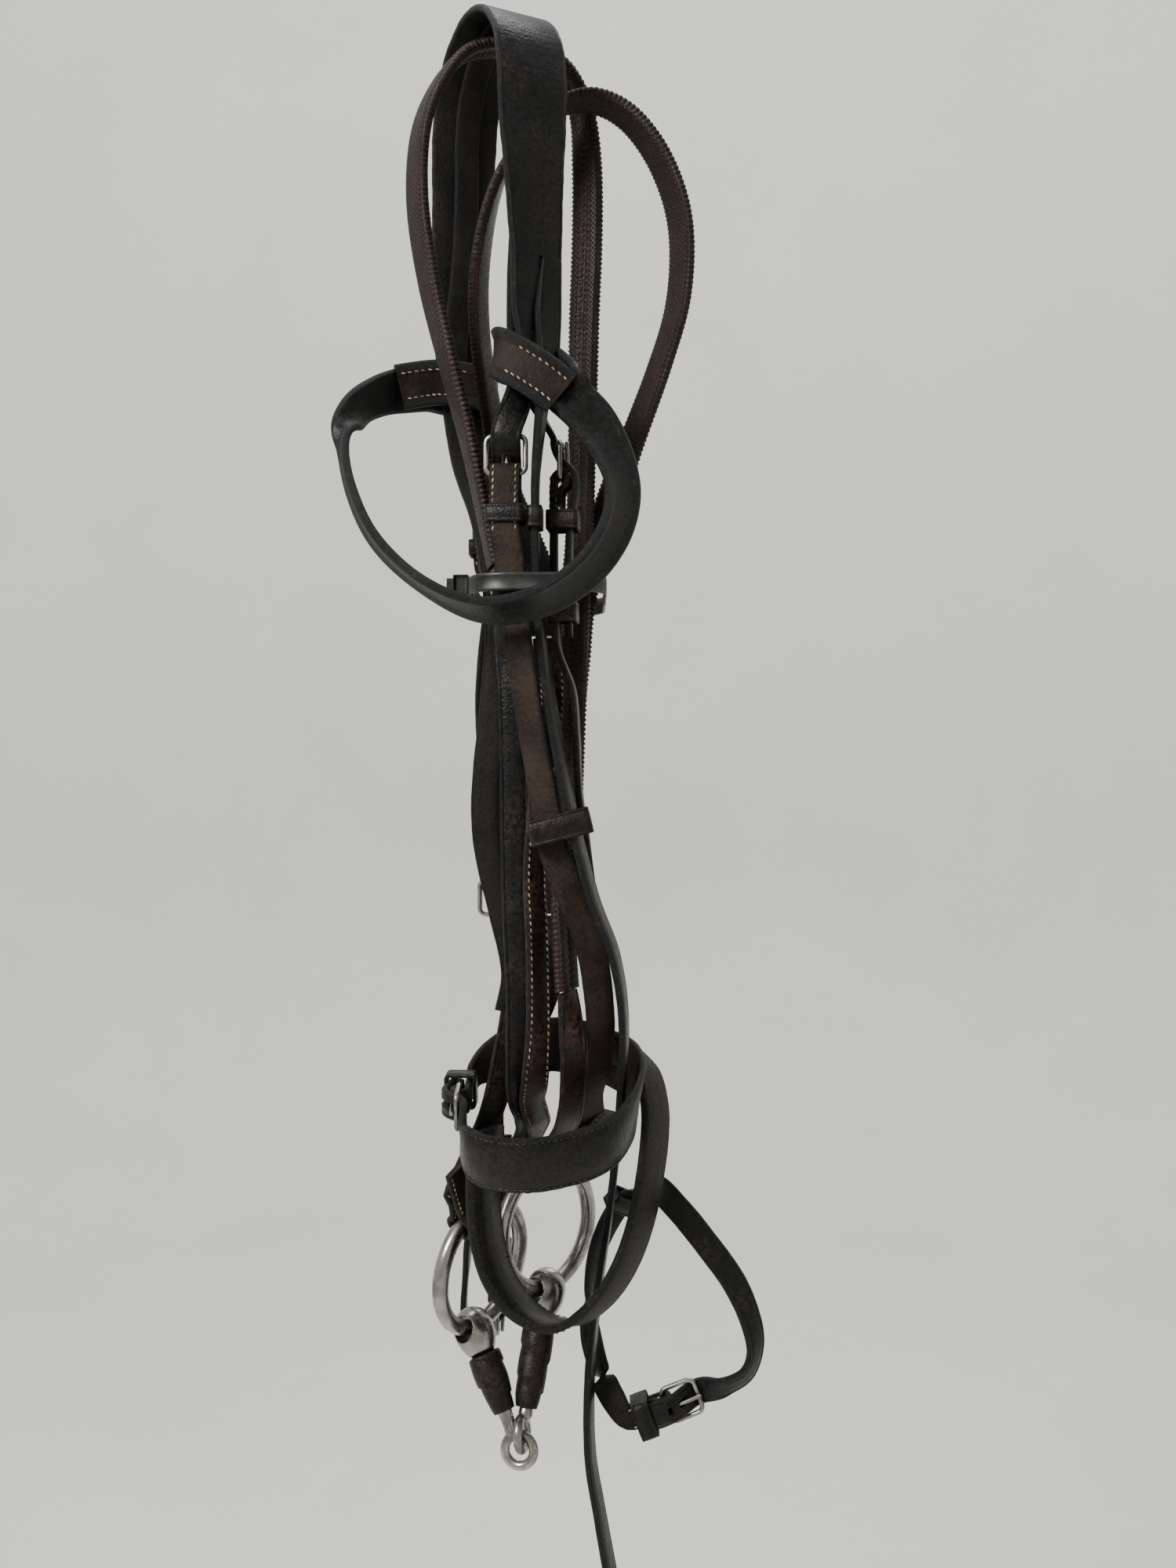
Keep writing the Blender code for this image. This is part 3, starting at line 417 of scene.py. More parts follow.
def thread_finish(name, clean, soiled):
    """Waxed linen thread, dirty where it has rubbed."""
    made, tree, shader = paint(name)
    where = add(tree, "ShaderNodeTexCoord").outputs["Object"]
    dirt = noise(tree, where, 160.0, 4.0)
    twist = noise(tree, where, 2600.0, 1.0)
    tree.links.new(mixed(tree, level(tree, dirt, 0.38, 0.62), soiled, clean),
                   shader.inputs["Base Color"])
    tree.links.new(level(tree, dirt, 0.3, 0.7, 0.85, 0.6), shader.inputs["Roughness"])
    tree.links.new(bumped(tree, twist, 0.0002), shader.inputs["Normal"])
    return made


def sew(work, laid, start, stop, offset, height, pitch=3.1, slant=12.0,
        size=(1.20, 0.44, 0.34)):
    """A row of stitches along a strap, each pulled down at both ends into its holes."""
    run = start
    at = 0
    while run <= stop:
        while at < len(laid) - 2 and laid[at + 1][4] < run:
            at += 1
        point, side, out, _, here = laid[at]
        following = laid[at + 1]
        share = (run - here) / max(following[4] - here, 1e-6)
        middle = point.lerp(following[0], share) + side * offset + out * height
        along = (following[0] - point).normalized()
        lean = math.radians(slant)
        x = along * math.cos(lean) + side * math.sin(lean)
        y = out.cross(x)
        turn = Matrix((x * size[0], y * size[1], out * size[2])).transposed().to_4x4()
        ball = bmesh.ops.create_icosphere(work, subdivisions=1, radius=MM)["verts"]
        bmesh.ops.transform(work, matrix=Matrix.Translation(middle * MM) @ turn, verts=ball)
        run += pitch


def placed(origin, along, outward):
    """Frame of a buckle: local X across the strap, Y along it, Z out of its face."""
    y = Vector(along).normalized()
    z = Vector(outward)
    z = (z - z.dot(y) * y).normalized()
    x = y.cross(z)
    return Matrix.Translation(Vector(origin)) @ Matrix((x, y, z)).transposed().to_4x4()


DOWN = (0, 0, -1)
UP = (0, 0, 1)
NEAR_BUCKLE = placed((7.1, -43, -224), UP, (0.1, 1, 0))
SLIP_BUCKLE = placed((32.5, -26, -224), UP, (1, -0.09, 0))
FAR_BUCKLE = placed((-7.6, 41, -226), UP, (0, -1, 0))
THROAT_BUCKLE = placed((-1, 23, -416), DOWN, (0, 1, 0))


def buckle_turn(place, back):
    """Stops of a strap's end: up under the heel bar, over it and back down, stitched."""
    radius = WIRE + 0.3 + LEATHER / 2 + 0.3
    x = place.to_3x3() @ Vector((1, 0, 0))
    line = []
    for y, z in ((-back, -3.6), (-5, -3.6), (-2.2, -radius), (0.6, -radius),
                 (radius, -0.6), (radius * 0.7, radius * 0.75), (-0.6, radius),
                 (-2.6, radius - 0.4), (-5, 0.3), (-12, 0)):
        line.append((*(place @ Vector((0, y, z))), tuple(x)))
    return line


def arch(radius, count):
    """Stops over the peg, from the far leg to the near leg, at one radius."""
    turn = math.radians(CROWN_TURN)
    across_peg = Vector((math.sin(turn), -math.cos(turn), 0.0))
    line = []
    for index in range(count + 1):
        angle = math.pi * (1 - index / count)
        point = across_peg * radius * math.cos(angle)
        point.z = radius * math.sin(angle) - CROWN_RADIUS
        line.append((*point, CROWN_TURN))
    return line


BLACK = leather("black_bridle_leather", (0.0080, 0.0077, 0.0077), (0.030, 0.022, 0.017),
                (0.0085, 0.0072, 0.0066), 0.36, 0.45)
BROWN = leather("worn_brown_leather", (0.0140, 0.0098, 0.0080), (0.056, 0.032, 0.021),
                (0.0215, 0.0130, 0.0090), 0.42, 1.0)
CREAM = thread_finish("cream_thread", (0.46, 0.38, 0.28), (0.13, 0.095, 0.065))

HEAD_FAR = [(-22, 38, -122, 26, 29), (-21, 39, -85, 26, 31), (-19.6, 39.1, -60, 26, 34)]
HEAD_NEAR = [(19.4, -39.4, -60, 27, 34), (20, -40, -85, 31, 31), (21, -38, -122, 40, 29)]
NEAR_BILLET = [(15.6, -40.3, -146, 44, 15), (17, -40, -166, 54, 14.5), (13, -42, -188, 35),
               (8.6, -46.2, -202, 6), (7.2, -46.8, -208, -6), (7.1, -43.4, -213, -6),
               (7.1, -38.0, -219, -6), (7.1, -35.8, -225, -6), (7.2, -36.6, -232, -6),
               (7.4, -38.5, -243, -6), (7.6, -39.2, -254, -8, 8)]
NEAR_THROATLASH = [(26.4, -33.5, -146, 42, 15), (26.4, -36, -166, 52, 14), (24, -41.5, -190, 74),
                   (21, -41.2, -222, 87), (20.6, -39.4, -244, 88), (20.8, -39.5, -262, 87),
                   (23.5, -41.5, -300, 80), (29.5, -43.5, -340, 74), (35.5, -45.5, -372, 72),
                   (38.5, -46.2, -386, 72), (47.5, -44.5, -420, 74), (57.5, -37, -448, 76),
                   (62, -26, -482, 80), (60, -9, -530, 84), (56, 6, -575, 84),
                   (50, 12, -620, 80), (46, 12, -660, 78), (46, 12, -700, 76),
                   (51, 12, -732, 74), (57, 12, -766, 72), (58, 12, -776, 72, 6)]
FAR_BILLET = [(-27, 36, -146, 26), (-25, 37, -166, 24), (-15, 42, -190, 12),
              (-8.5, 44.4, -204, 2), (-7.6, 44.4, -210, 0), (-7.6, 40.8, -215, 0),
              (-7.6, 36, -221, 0), (-7.6, 33.8, -227, 0), (-7.5, 34.6, -234, 0),
              (-7.2, 36.5, -243, 0), (-7, 37, -254, 0, 8)]
FAR_THROATLASH = [(-13.5, 42, -146, 26), (-12.5, 42.5, -178, 28), (-3, 38, -200, 40),
                  (1, 28, -225, 52), (0, 20, -262, 50), (-4, 17, -300, 28),
                  (-5, 15, -335, 10), (-1.6, 18.8, -375, 2), (-1, 19.4, -395, 0)]
FAR_THROATLASH += buckle_turn(THROAT_BUCKLE, 10)

head = new_work()
over_sliphead = CROWN_RADIUS + LEATHER + 0.3 + HEAD_THICK / 2
over_poll = lay(HEAD_FAR + arch(over_sliphead, 6) + HEAD_NEAR, 35)
strap_work(head, over_poll, HEAD_THICK, crease=0.3)
for end, (billet, throat), frames in (
        (over_poll[-1], (NEAR_BILLET, NEAR_THROATLASH), (NEAR_BUCKLE,)),
        (over_poll[0], (FAR_BILLET, FAR_THROATLASH), (FAR_BUCKLE,))):
    middle, side, _, wide, _ = end
    for leg, centre, share, width in ((billet, -0.225, 0.55, 14), (throat, 0.29, 0.42, 13)):
        first = (*(middle + side * wide * centre), tuple(side), wide * share)
        laid_leg = lay([first, *leg], width)
        narrowed = len(leg[-1]) == 5
        if narrowed:
            laid_leg = tapered(laid_leg)
        strap_work(head, laid_leg, HEAD_THICK, (*frames, THROAT_BUCKLE))
finish_piece("headpiece_leather", head, BLACK, "straps", ["headpiece"])


# --- Sliphead ---------------------------------------------------------------------------
# Narrow strap under the headpiece that carries the noseband; its right end buckles to a
# shorter strap that is sewn to the noseband's ring end.

DARK_BROWN = leather("dark_brown_leather", (0.0150, 0.0115, 0.0100), (0.055, 0.034, 0.024),
                     (0.034, 0.021, 0.0145), 0.40, 0.9)
SLIP_NEAR = [(17.5, -36, -60, 27), (16.5, -37, -85, 32), (13, -35, -120, 46),
             (11.5, -34.5, -148, 58), (12, -33.5, -166, 60), (15, -30.7, -180, 66),
             (23, -26.6, -194, 76), (28.8, -25.8, -204, 84), (29.3, -26, -209, 85),
             (31.6, -26, -214, 85), (38.1, -26, -220, 85), (39.5, -26, -226, 85),
             (38.9, -26, -233, 85), (36.9, -26, -243, 85), (36.2, -26, -262, 85),
             (36.2, -26, -298, 85, 7)]
SLIP_FAR = [(6, -7, -478, 14), (9, -4, -458, 10), (3, -3, -430, 0), (-3, -7, -404, -6),
            (-5, -11, -384, -6), (-4, -14.5, -362, -5), (-1, -17.5, -336, -3),
            (1.5, -18.5, -310, 0), (1.5, -15, -280, 6), (-6, 2, -240, 20), (-18, 22, -205, 26),
            (-24, 29, -166, 26), (-23, 32, -140, 26), (-19, 34.5, -100, 26),
            (-17.5, 36, -60, 26)]
slip = new_work()
slip_route = SLIP_FAR + arch(CROWN_RADIUS + LEATHER / 2, 6) + SLIP_NEAR
laid_slip = tapered(lay(slip_route, 13), length=7.0)
strap_work(slip, laid_slip, LEATHER, (SLIP_BUCKLE,))
finish_piece("sliphead_leather", slip, BLACK, "straps", ["noseband_sliphead"])

NOSE_DOWN = [(29, -26.5, -262, 85), (30.2, -27, -300, 85), (37.5, -28, -322, 85),
             (39.5, -29, -342, 85), (41, -29.5, -372, 86), (44.5, -25, -394, 88),
             (47, -15, -420, 96), (46, -8, -450, 106), (49, 0, -478, 116), (54, 8, -494, 125),
             (57.6, 11.8, -506, 127)]
drop = new_work()
laid_drop = lay(list(reversed(buckle_turn(SLIP_BUCKLE, 26))) + NOSE_DOWN, 13)
strap_work(drop, laid_drop, LEATHER, (SLIP_BUCKLE,))
finish_piece("noseband_cheek_leather", drop, BROWN, "straps", ["noseband_cheek_right"])


def sew_edges(work, laid, spans, offset, height=1.55, **style):
    """Stitches near both edges of a strap and on both its faces, along each (start, stop)."""
    for start, stop in spans:
        for edge in (-offset, offset):
            for face in (-height, height):
                sew(work, laid, start, stop, edge, face, **style)


drop_seams = new_work()
sew_edges(drop_seams, laid_drop, [(24, 48)], 4.6)
finish_piece("noseband_cheek_stitches", drop_seams, CREAM, "straps", [])


# --- Browband ---------------------------------------------------------------------------
# Flat band across the forehead.  Its long edges are rolled over and each end is folded
# back on itself and sewn into the loop that the headpiece passes through.

upright = (0.0, 0.0, 1.0)
BROW_RIGHT = [
    (33, -49.5, -189, (0.25, 0.1, 0.97)), (24, -50.5, -182, (0.3, 0.1, 0.95)),
    (12, -49, -174, (0.3, 0.05, 0.95)), (3.5, -45, -169, (0.2, 0, 1)),
    (2, -37, -167, upright), (5, -27, -167, upright),
    (16, -22.3, -168, upright), (27, -26.5, -172, upright),
    (34, -37, -181, (0.1, 0.1, 0.99)), (37, -44.5, -189, (0.3, 0.2, 0.93))]
BROW_DROOP = [
    (48, -42, -200, (0.75, 0.35, 0.6)), (57, -43, -216, (0.75, 0.6, 0.3)),
    (61, -47, -234, (0.65, 0.75, 0.0)), (56, -55.5, -255, (0.5, 0.8, -0.35)),
    (42, -61.5, -274, (0.3, 0.85, -0.45)), (20, -64, -287, (0.1, 0.9, -0.45)),
    (-5, -63, -289, (0, 0.95, -0.3)), (-30, -58, -277, (-0.1, 1, -0.1)),
    (-52, -50, -256, (-0.2, 1, 0)), (-65, -40, -230, (-0.25, 0.95, 0.2), 20),
    (-70, -28, -205, (-0.2, 0.75, 0.6), 15), (-67, -12, -187, (-0.1, 0.4, 0.9), 17),
    (-58, 6, -175, upright, 20), (-46, 20.5, -168, upright)]
BROW_LEFT = [
    (-38, 30, -165, upright), (-33, 38.5, -164, upright), (-24, 46.5, -164, upright),
    (-12, 51, -164, upright), (-3.5, 47, -164, upright), (-4, 37, -164, upright),
    (-14, 28, -164, upright), (-24, 22.5, -164, upright), (-34, 18.5, -165, upright),
    (-49, 12.5, -169, upright)]


def rolled_section(width, thick, roll):
    """Section of a band with fat rounded edges standing a little proud of its face."""
    half, high = width / 2, thick / 2
    bead = high * roll
    left = []
    for step in range(9):
        angle = math.radians(-100 - 170 * step / 8)
        left.append((-half + bead + bead * math.cos(angle), bead * math.sin(angle),
                     1.0, 0.6 - 0.6 * step / 8))
    left += [(-half + 2.2 * bead, high * 0.62, 0.55, 0.0),
             (-half + 3.0 * bead, high * 0.5, 0.0, 0.0)]
    over = [*left, (0.0, high * 0.5, 0.0, 0.0)]
    over += [(-x, z, edge, back) for x, z, edge, back in reversed(left)]
    under = [(half - 2.6 * bead, -high * 0.5, 0.2, 1.0), (0.0, -high * 0.5, 0.0, 1.0),
             (-half + 2.6 * bead, -high * 0.5, 0.2, 1.0)]
    return over + under


BROW = leather("browband_leather", (0.0115, 0.0113, 0.0113), (0.030, 0.024, 0.021),
               (0.0165, 0.0105, 0.0075), 0.42, 0.5)
brow = new_work()
laid_brow = lay(BROW_RIGHT + BROW_DROOP + BROW_LEFT, 23)
sweep(brow, laid_brow, lambda wide, run: rolled_section(wide, LEATHER * 1.05, 1.35))
finish_piece("browband_leather", brow, BROW, "straps", ["browband"])
brow_seams = new_work()
brow_total = laid_brow[-1][4]
sew_edges(brow_seams, laid_brow, [(3, 28), (brow_total - 34, brow_total - 3)], 6.3, 1.10,
          pitch=3.4)
finish_piece("browband_stitches", brow_seams, CREAM, "straps", [])


# --- Cheekpieces ------------------------------------------------------------------------
# Each hangs from a buckle on the headpiece's billet and is folded round the bit ring, the
# two layers sewn together above the ring and below the buckle.

RING_RADIUS = 31.5   # of a loose ring's centre line, mm
RING_ROD = 4.0       # radius of its rod, mm


def across_ring(bottom, upward, heading):
    """Centre, up, side and normal of a loose ring that hangs from its lowest point."""
    up = Vector(upward).normalized()
    side = across(heading)
    side = (side - side.dot(up) * up).normalized()
    return Vector(bottom) + up * RING_RADIUS, up, side, side.cross(up)


LEFT_BOSS = Vector((-13.5, 24, -642))
RIGHT_BOSS = Vector((23.5, 36, -626))
BIT_JOINT = Vector((11, 7, -697))
LEFT_RING = across_ring(LEFT_BOSS, (0.14, 0, 0.99), 55)
RIGHT_RING = across_ring(RIGHT_BOSS, (0, 0, 1), 47)


def to_ring(ring, degrees, route, lengths, lean):
    """Stops of a strap that follows its route down, folds round the ring and comes back."""
    centre, up, side, _ = ring
    angle = math.radians(degrees)
    middle = centre + (up * math.cos(angle) + side * math.sin(angle)) * RING_RADIUS
    tangent = side * math.cos(angle) - up * math.sin(angle)
    leave = Vector(lean)
    leave = (leave - leave.dot(tangent) * tangent).normalized()
    width = (tangent - tangent.dot(leave) * leave).normalized()
    out = width.cross(leave)
    radius = RING_ROD + 1.2 + LEATHER / 2
    close = out * 1.75
    line = [middle + leave * lengths[0] - close, middle + leave * (radius + 9) - close]
    for step in range(7):
        bend_at = math.radians(-150 + 50 * step)
        line.append(middle + (out * math.sin(bend_at) - leave * math.cos(bend_at)) * radius)
    line += [middle + leave * (radius + 9) + close, middle + leave * lengths[1] + close]
    return route + [(*point, tuple(width)) for point in line]


CHEEK_NEAR = [(9, -46.4, -264, -12), (11.5, -45.6, -290, -20), (15.5, -44.5, -320, -26),
              (20.5, -43.8, -350, -28), (26, -44, -381, -16), (30, -43.6, -400, -6),
              (38, -42, -420, 2), (47, -36, -446, 8), (51, -24, -480, 20),
              (50, -4, -506, 36), (46.5, 13, -524, 46)]
CHEEK_FAR = [(-5.5, 43, -258, 2), (2.6, 34, -276, 4), (6, 26, -315, 6), (11, 15, -350, 6),
             (12, 8, -390, 4), (12, 7, -430, 4), (10, 8, -470, 8), (3, 8, -508, 22),
             (-5, 8, -535, 40)]
for label, buckle_place, route, ring_at, degrees, lengths, lean, tone in (
        ("right", NEAR_BUCKLE, CHEEK_NEAR, RIGHT_RING, 18, (28, 40), (0.606, -0.227, 0.76), BROWN),
        ("left", FAR_BUCKLE, CHEEK_FAR, LEFT_RING, -33, (22, 34), (-0.12, -0.4, 0.9),
         DARK_BROWN)):
    cheek = new_work()
    top = list(reversed(buckle_turn(buckle_place, 26)))
    laid_cheek = lay(to_ring(ring_at, degrees, top + route, lengths, lean), 14)
    strap_work(cheek, laid_cheek, LEATHER, (buckle_place,))
    finish_piece(f"cheek_{label}_leather", cheek, tone, "straps", [f"cheekpiece_{label}"])
    cheek_seams = new_work()
    total = laid_cheek[-1][4]
    sew_edges(cheek_seams, laid_cheek,
              [(22, 52), (total - 24, total - 2), (total - 84, total - 58)], 5.2)
    finish_piece(f"cheek_{label}_stitches", cheek_seams, CREAM, "straps", [])


# --- Noseband ---------------------------------------------------------------------------
# Wide cavesson: a padded nosepiece with rolled edges, and a jaw strap that narrows to
# pass through its buckle on the left.

NOSE = leather("noseband_leather", (0.0088, 0.0082, 0.0080), (0.034, 0.024, 0.018),
               (0.0120, 0.0090, 0.0075), 0.33, 0.30)
NOSEPIECE = [
    (-4, -6, -535), (-6, -6, -556), (-5, -7, -580), (0, -8, -602), (10, -9, -618),
    (24, -10, -627), (38, -10, -627), (52, -9, -617), (63, -7, -601), (71, -4, -580),
    (76, 0, -556), (78.5, 8, -536), (77.8, 14, -523),
    (74.5, 19, -512), (67, 22.5, -504)]
nose = new_work()
laid_nose = lay([(*p, (12.6, 24.4, -5.6)) for p in NOSEPIECE], 28, 1.6)


def nose_section(width, run):
    wrinkle = 0.10 * math.sin(run * 1.9) + 0.08 * math.sin(run * 3.1 + 1.0)
    return strap_section(width, 4.2 + wrinkle, 0.45, 0.25)


sweep(nose, laid_nose, nose_section)
finish_piece("nosepiece_leather", nose, NOSE, "straps", ["noseband_nosepiece"])
nose_seams = new_work()
nose_total = laid_nose[-1][4]
FINE_STITCH = {"pitch": 2.9, "slant": 6, "size": (0.9, 0.28, 0.22)}
sew_edges(nose_seams, laid_nose, [(3, nose_total - 3)], 11.9, 2.05, **FINE_STITCH)
DARK_THREAD = thread_finish("dark_thread", (0.050, 0.038, 0.030), (0.020, 0.016, 0.014))
finish_piece("nosepiece_stitches", nose_seams, DARK_THREAD, "straps", [])

JAW_BUCKLE = placed((-17.5, -5, -521), (0, -1, -0.15), (-1, 0, 0))
leaning = (0, -0.3, 0.95)
JAW = [
    (56, 20, -505, (-0.1, 0.2, 0.97)), (65, 8, -508, (0.1, 0.1, 0.97)),
    (69, -8, -515, (0.15, 0, 0.97)), (66, -24, -524, (0.15, -0.1, 0.97)),
    (56, -38, -533, (0.1, -0.25, 0.96)), (40, -46, -538, leaning), (20, -49, -541, leaning),
    (2, -46, -541, leaning), (-9, -38, -539, (-0.1, -0.2, 0.97)),
    (-13.5, -30, -534, (-0.1, 0, 1), 24), (-14.1, -24.8, -526.5, UP, 14),
    (-14.2, -20.8, -523.4, UP, 13), (-17, -16, -522.6, UP, 13), (-22, -11.5, -522, UP, 13),
    (-24.9, -5, -521, UP, 13), (-22.8, 3.5, -520, UP, 13), (-21.2, 11, -518.6, UP, 13),
    (-20.5, 24, -514, UP, 8)]
JAW_BACK = [(-11.5, 21, -513, UP, 15), (-5, 27, -509, UP, 21), (8, 32.5, -504, UP, 26),
            (26, 34.5, -501, UP, 28), (44, 29, -502, UP, 28), (51.5, 25, -503.5, UP, 28)]
jaw_front = new_work()
laid_jaw = tapered(lay(JAW, 28, grain=-1))
strap_work(jaw_front, laid_jaw, LEATHER, (JAW_BUCKLE,), crease=0.4)
finish_piece("jaw_strap_leather", jaw_front, NOSE, "straps", ["noseband_jaw_strap"])
jaw_back = new_work()
laid_back = lay(list(reversed(buckle_turn(JAW_BUCKLE, 20))) + JAW_BACK, 13)
strap_work(jaw_back, laid_back, LEATHER, (JAW_BUCKLE,))
finish_piece("jaw_buckle_strap_leather", jaw_back, NOSE, "straps",
             ["noseband_jaw_buckle_strap"])
jaw_seams = new_work()
sew_edges(jaw_seams, laid_back, [(20, 40)], 4.6)
sew_edges(jaw_seams, laid_jaw, [(4, 150)], 12.1, 1.5, **FINE_STITCH)
finish_piece("jaw_stitches", jaw_seams, DARK_THREAD, "straps", [])


# --- Flash strap ------------------------------------------------------------------------
# Narrow strap carried through a small tab on the nosepiece and buckled into its own loop.

FLASH_BUCKLE = placed((84, 13, -678), (0.93, 0, 0.36), (0.1, -1, 0))
FLASH = [
    (57, 20, -676, (-0.2, 0.3, 0.95)), (50, 25, -662, (-0.5, 0.4, 0.75)),
    (46, 29, -645, (-0.6, 0.6, 0.4)), (46, 32, -624, (0.3, 0.9, 0)),
    (52, 31, -600, (0.6, 0.6, -0.3)), (63, 28, -580, (0.6, 0.5, -0.5)),
    (77, 21, -570, (0.4, 0.4, 0.8)), (90, 16, -580, (0.65, 0.2, 0.7)),
    (105, 14, -598, (0.7, 0.2, 0.65)), (118, 13, -616, (0.75, 0.35, 0.5)),
    (126, 12, -634, (0.75, 0.6, 0.2)), (128.5, 12, -649, (0.65, 0.75, 0)),
    (124, 11, -661, (0.4, 0.6, -0.5)), (113, 11.5, -667.5, (-0.2, -0.5, 0.8)),
    (104, 15.5, -670.5, (-0.3, 0, 0.9)), (99.5, 16.2, -672, (-0.36, 0, 0.93)),
    (95, 14, -673.8, (-0.36, 0, 0.93)), (89, 8.5, -676, (-0.36, 0, 0.93)),
    (84, 6.4, -678, (-0.36, 0, 0.93)), (77, 7.3, -680.7, (-0.36, 0, 0.93)),
    (68, 9, -684, (-0.36, 0, 0.93), 8)]
flash = new_work()
laid_flash = tapered(lay(list(reversed(buckle_turn(FLASH_BUCKLE, 20))) + FLASH, 13, grain=-1))
strap_work(flash, laid_flash, LEATHER, (FLASH_BUCKLE,))
finish_piece("flash_strap_leather", flash, BLACK, "straps", ["flash_strap"])
flash_seams = new_work()
sew_edges(flash_seams, laid_flash, [(20, 42)], 4.6)
finish_piece("flash_stitches", flash_seams, CREAM, "straps", [])


# --- Reins ------------------------------------------------------------------------------
# Each rein is a leather bit end, a stretch covered in dimpled rubber sewn up along its
# middle, and a leather hand end; the two hand ends buckle together.

REIN = leather("rein_leather", (0.023, 0.0120, 0.0098), (0.075, 0.040, 0.028),
               (0.046, 0.0235, 0.0170), 0.40, 0.9)
REIN_BUCKLE = placed((-3, 60, -640), DOWN, (1, 0, 0))
HAND_LEFT = [
    (1, -24.5, -265.2, -75), (5, -26, -290, -48), (9, -26.5, -320, -12), (10, -25, -350, 0),
    (10.5, -24, -390, 0), (11.5, -24, -430, 0), (13, -23.5, -470, 4), (12.5, -20, -505, 20),
    (12, -3, -520, 50), (14, 17, -533, 56), (12, 39.5, -547, 56), (-5, 52, -574, 60),
    (-17, 60, -604, 78), (-20, 60, -628, 90), (-21, 60, -648, 90), (-18, 60, -664, 90),
    (-12, 60, -671, 90), (-7, 60, -665, 90), (-6.1, 60, -657, 90), (-3.5, 60, -651, 90),
    (1.6, 60, -645.5, 90), (3.7, 60, -640, 90), (3, 60, -632, 90), (0.8, 60, -622, 90),
    (0.6, 60, -606, 90, 8)]
HAND_RIGHT = list(reversed(buckle_turn(REIN_BUCKLE, 30))) + [
    (-5.2, 60, -598, 82), (4, 55, -575, 64), (18, 39, -548, 56), (19.5, 16, -535, 56),
    (18, -4, -522, 50), (20, -26, -506, 30), (21.5, -30, -480, 44), (21, -30.5, -440, 48),
    (19.9, -30.8, -410, 48), (21.8, -29.8, -380, 48), (24.5, -29, -354, 40), (27, -25, -334, 30),
    (27, -19, -316, 18), (25.3, -15.4, -297.2, 12)]
BIT_LEFT = [(35.4, -31.9, -464.2, 58), (37, -31, -480, 40), (38, -28, -498, 36),
            (37, -18, -520, 38), (33, 0, -537, 40)]
BIT_RIGHT = [(28.9, 13.9, -433.2, 8), (25, 16, -468, 16), (12, 18, -500, 36),
             (-2, 18, -526, 48)]
FOLD_LEFT = to_ring(RIGHT_RING, -22, BIT_LEFT, (22, 34), (0.4, -0.6, 0.7))
FOLD_RIGHT = to_ring(LEFT_RING, 4, BIT_RIGHT, (24, 34), (-0.06, -0.12, 0.99))
for label, laid_rein, tone in (
        ("rein_hand_left", tapered(lay(HAND_LEFT, 14)), BLACK),
        ("rein_hand_right", lay(HAND_RIGHT, 14), REIN),
        ("rein_bit_left", lay(FOLD_LEFT, 14), REIN),
        ("rein_bit_right", lay(FOLD_RIGHT, 14), REIN)):
    rein = new_work()
    strap_work(rein, laid_rein, LEATHER, (REIN_BUCKLE,))
    finish_piece(f"{label}_leather", rein, tone, "straps", [label])
    rein_seams = new_work()
    total = laid_rein[-1][4]
    if label == "rein_hand_right":
        sew_edges(rein_seams, laid_rein, [(22, total - 8)], 5.3, pitch=3.3)
    elif label == "rein_hand_left":
        sew_edges(rein_seams, laid_rein, [(4, 14)], 5.3)
    else:
        sew_edges(rein_seams, laid_rein, [(total - 24, total - 2), (total - 78, total - 56)], 5.3)
    finish_piece(f"{label}_stitches", rein_seams, CREAM, "straps", [])


def rubber():
    """Reddish brown moulded rubber with rows of small dimples, their hollows darkened with painted
    shade.
    """
    made, tree, shader = paint("dimpled_rubber")
    run, off, back, edge = (
        add(tree, "ShaderNodeAttribute", attribute_name=label).outputs["Fac"]
        for label in ("run", "off", "back", "edge"))
    where = add(tree, "ShaderNodeTexCoord").outputs["Object"]
    grid = add(tree, "ShaderNodeCombineXYZ", [(0, run), (1, off), (2, 0.0)]).outputs[0]
    turned_grid = add(tree, "ShaderNodeMapping", [
        ("Vector", grid), ("Rotation", (0, 0, math.pi / 4)), ("Scale", (560, 560, 1))])
    dimple = add(tree, "ShaderNodeTexVoronoi", [
        ("Vector", turned_grid.outputs[0]), ("Scale", 1.0), ("Randomness", 0.12)],
        voronoi_dimensions="2D").outputs["Distance"]
    pit = level(tree, dimple, 0.10, 0.36)
    patches = noise(tree, where, 55.0, 4.0)
    mottle = noise(tree, where, 700.0, 3.0)
    base = mixed(tree, level(tree, patches, 0.35, 0.7), (0.0085, 0.0043, 0.0039),
                 (0.0185, 0.0092, 0.0080))
    base = mixed(tree, level(tree, mottle, 0.45, 0.75, 0.0, 0.4), base, (0.036, 0.021, 0.018))
    # Painted shade: the middle of each dimple on the flat face is darkened, as if shade lay in it.
    holes = times(tree, level(tree, pit, 0.0, 1.0, 1.0, 0.0), level(tree, edge, 0.2, 0.6, 1, 0))
    colour = mixed(tree, holes, base, (0.006, 0.0035, 0.0033))
    tree.links.new(colour, shader.inputs["Base Color"])
    tree.links.new(level(tree, mottle, 0.3, 0.7, 0.46, 0.66), shader.inputs["Roughness"])
    shader.inputs["Specular IOR Level"].default_value = 0.22
    sunk = times(tree, pit, level(tree, edge, 0.2, 0.6, 1.0, 0.15))
    bump = bumped(tree, sunk, 0.0009)
    tree.links.new(bumped(tree, mottle, 0.00018, bump), shader.inputs["Normal"])
    return made


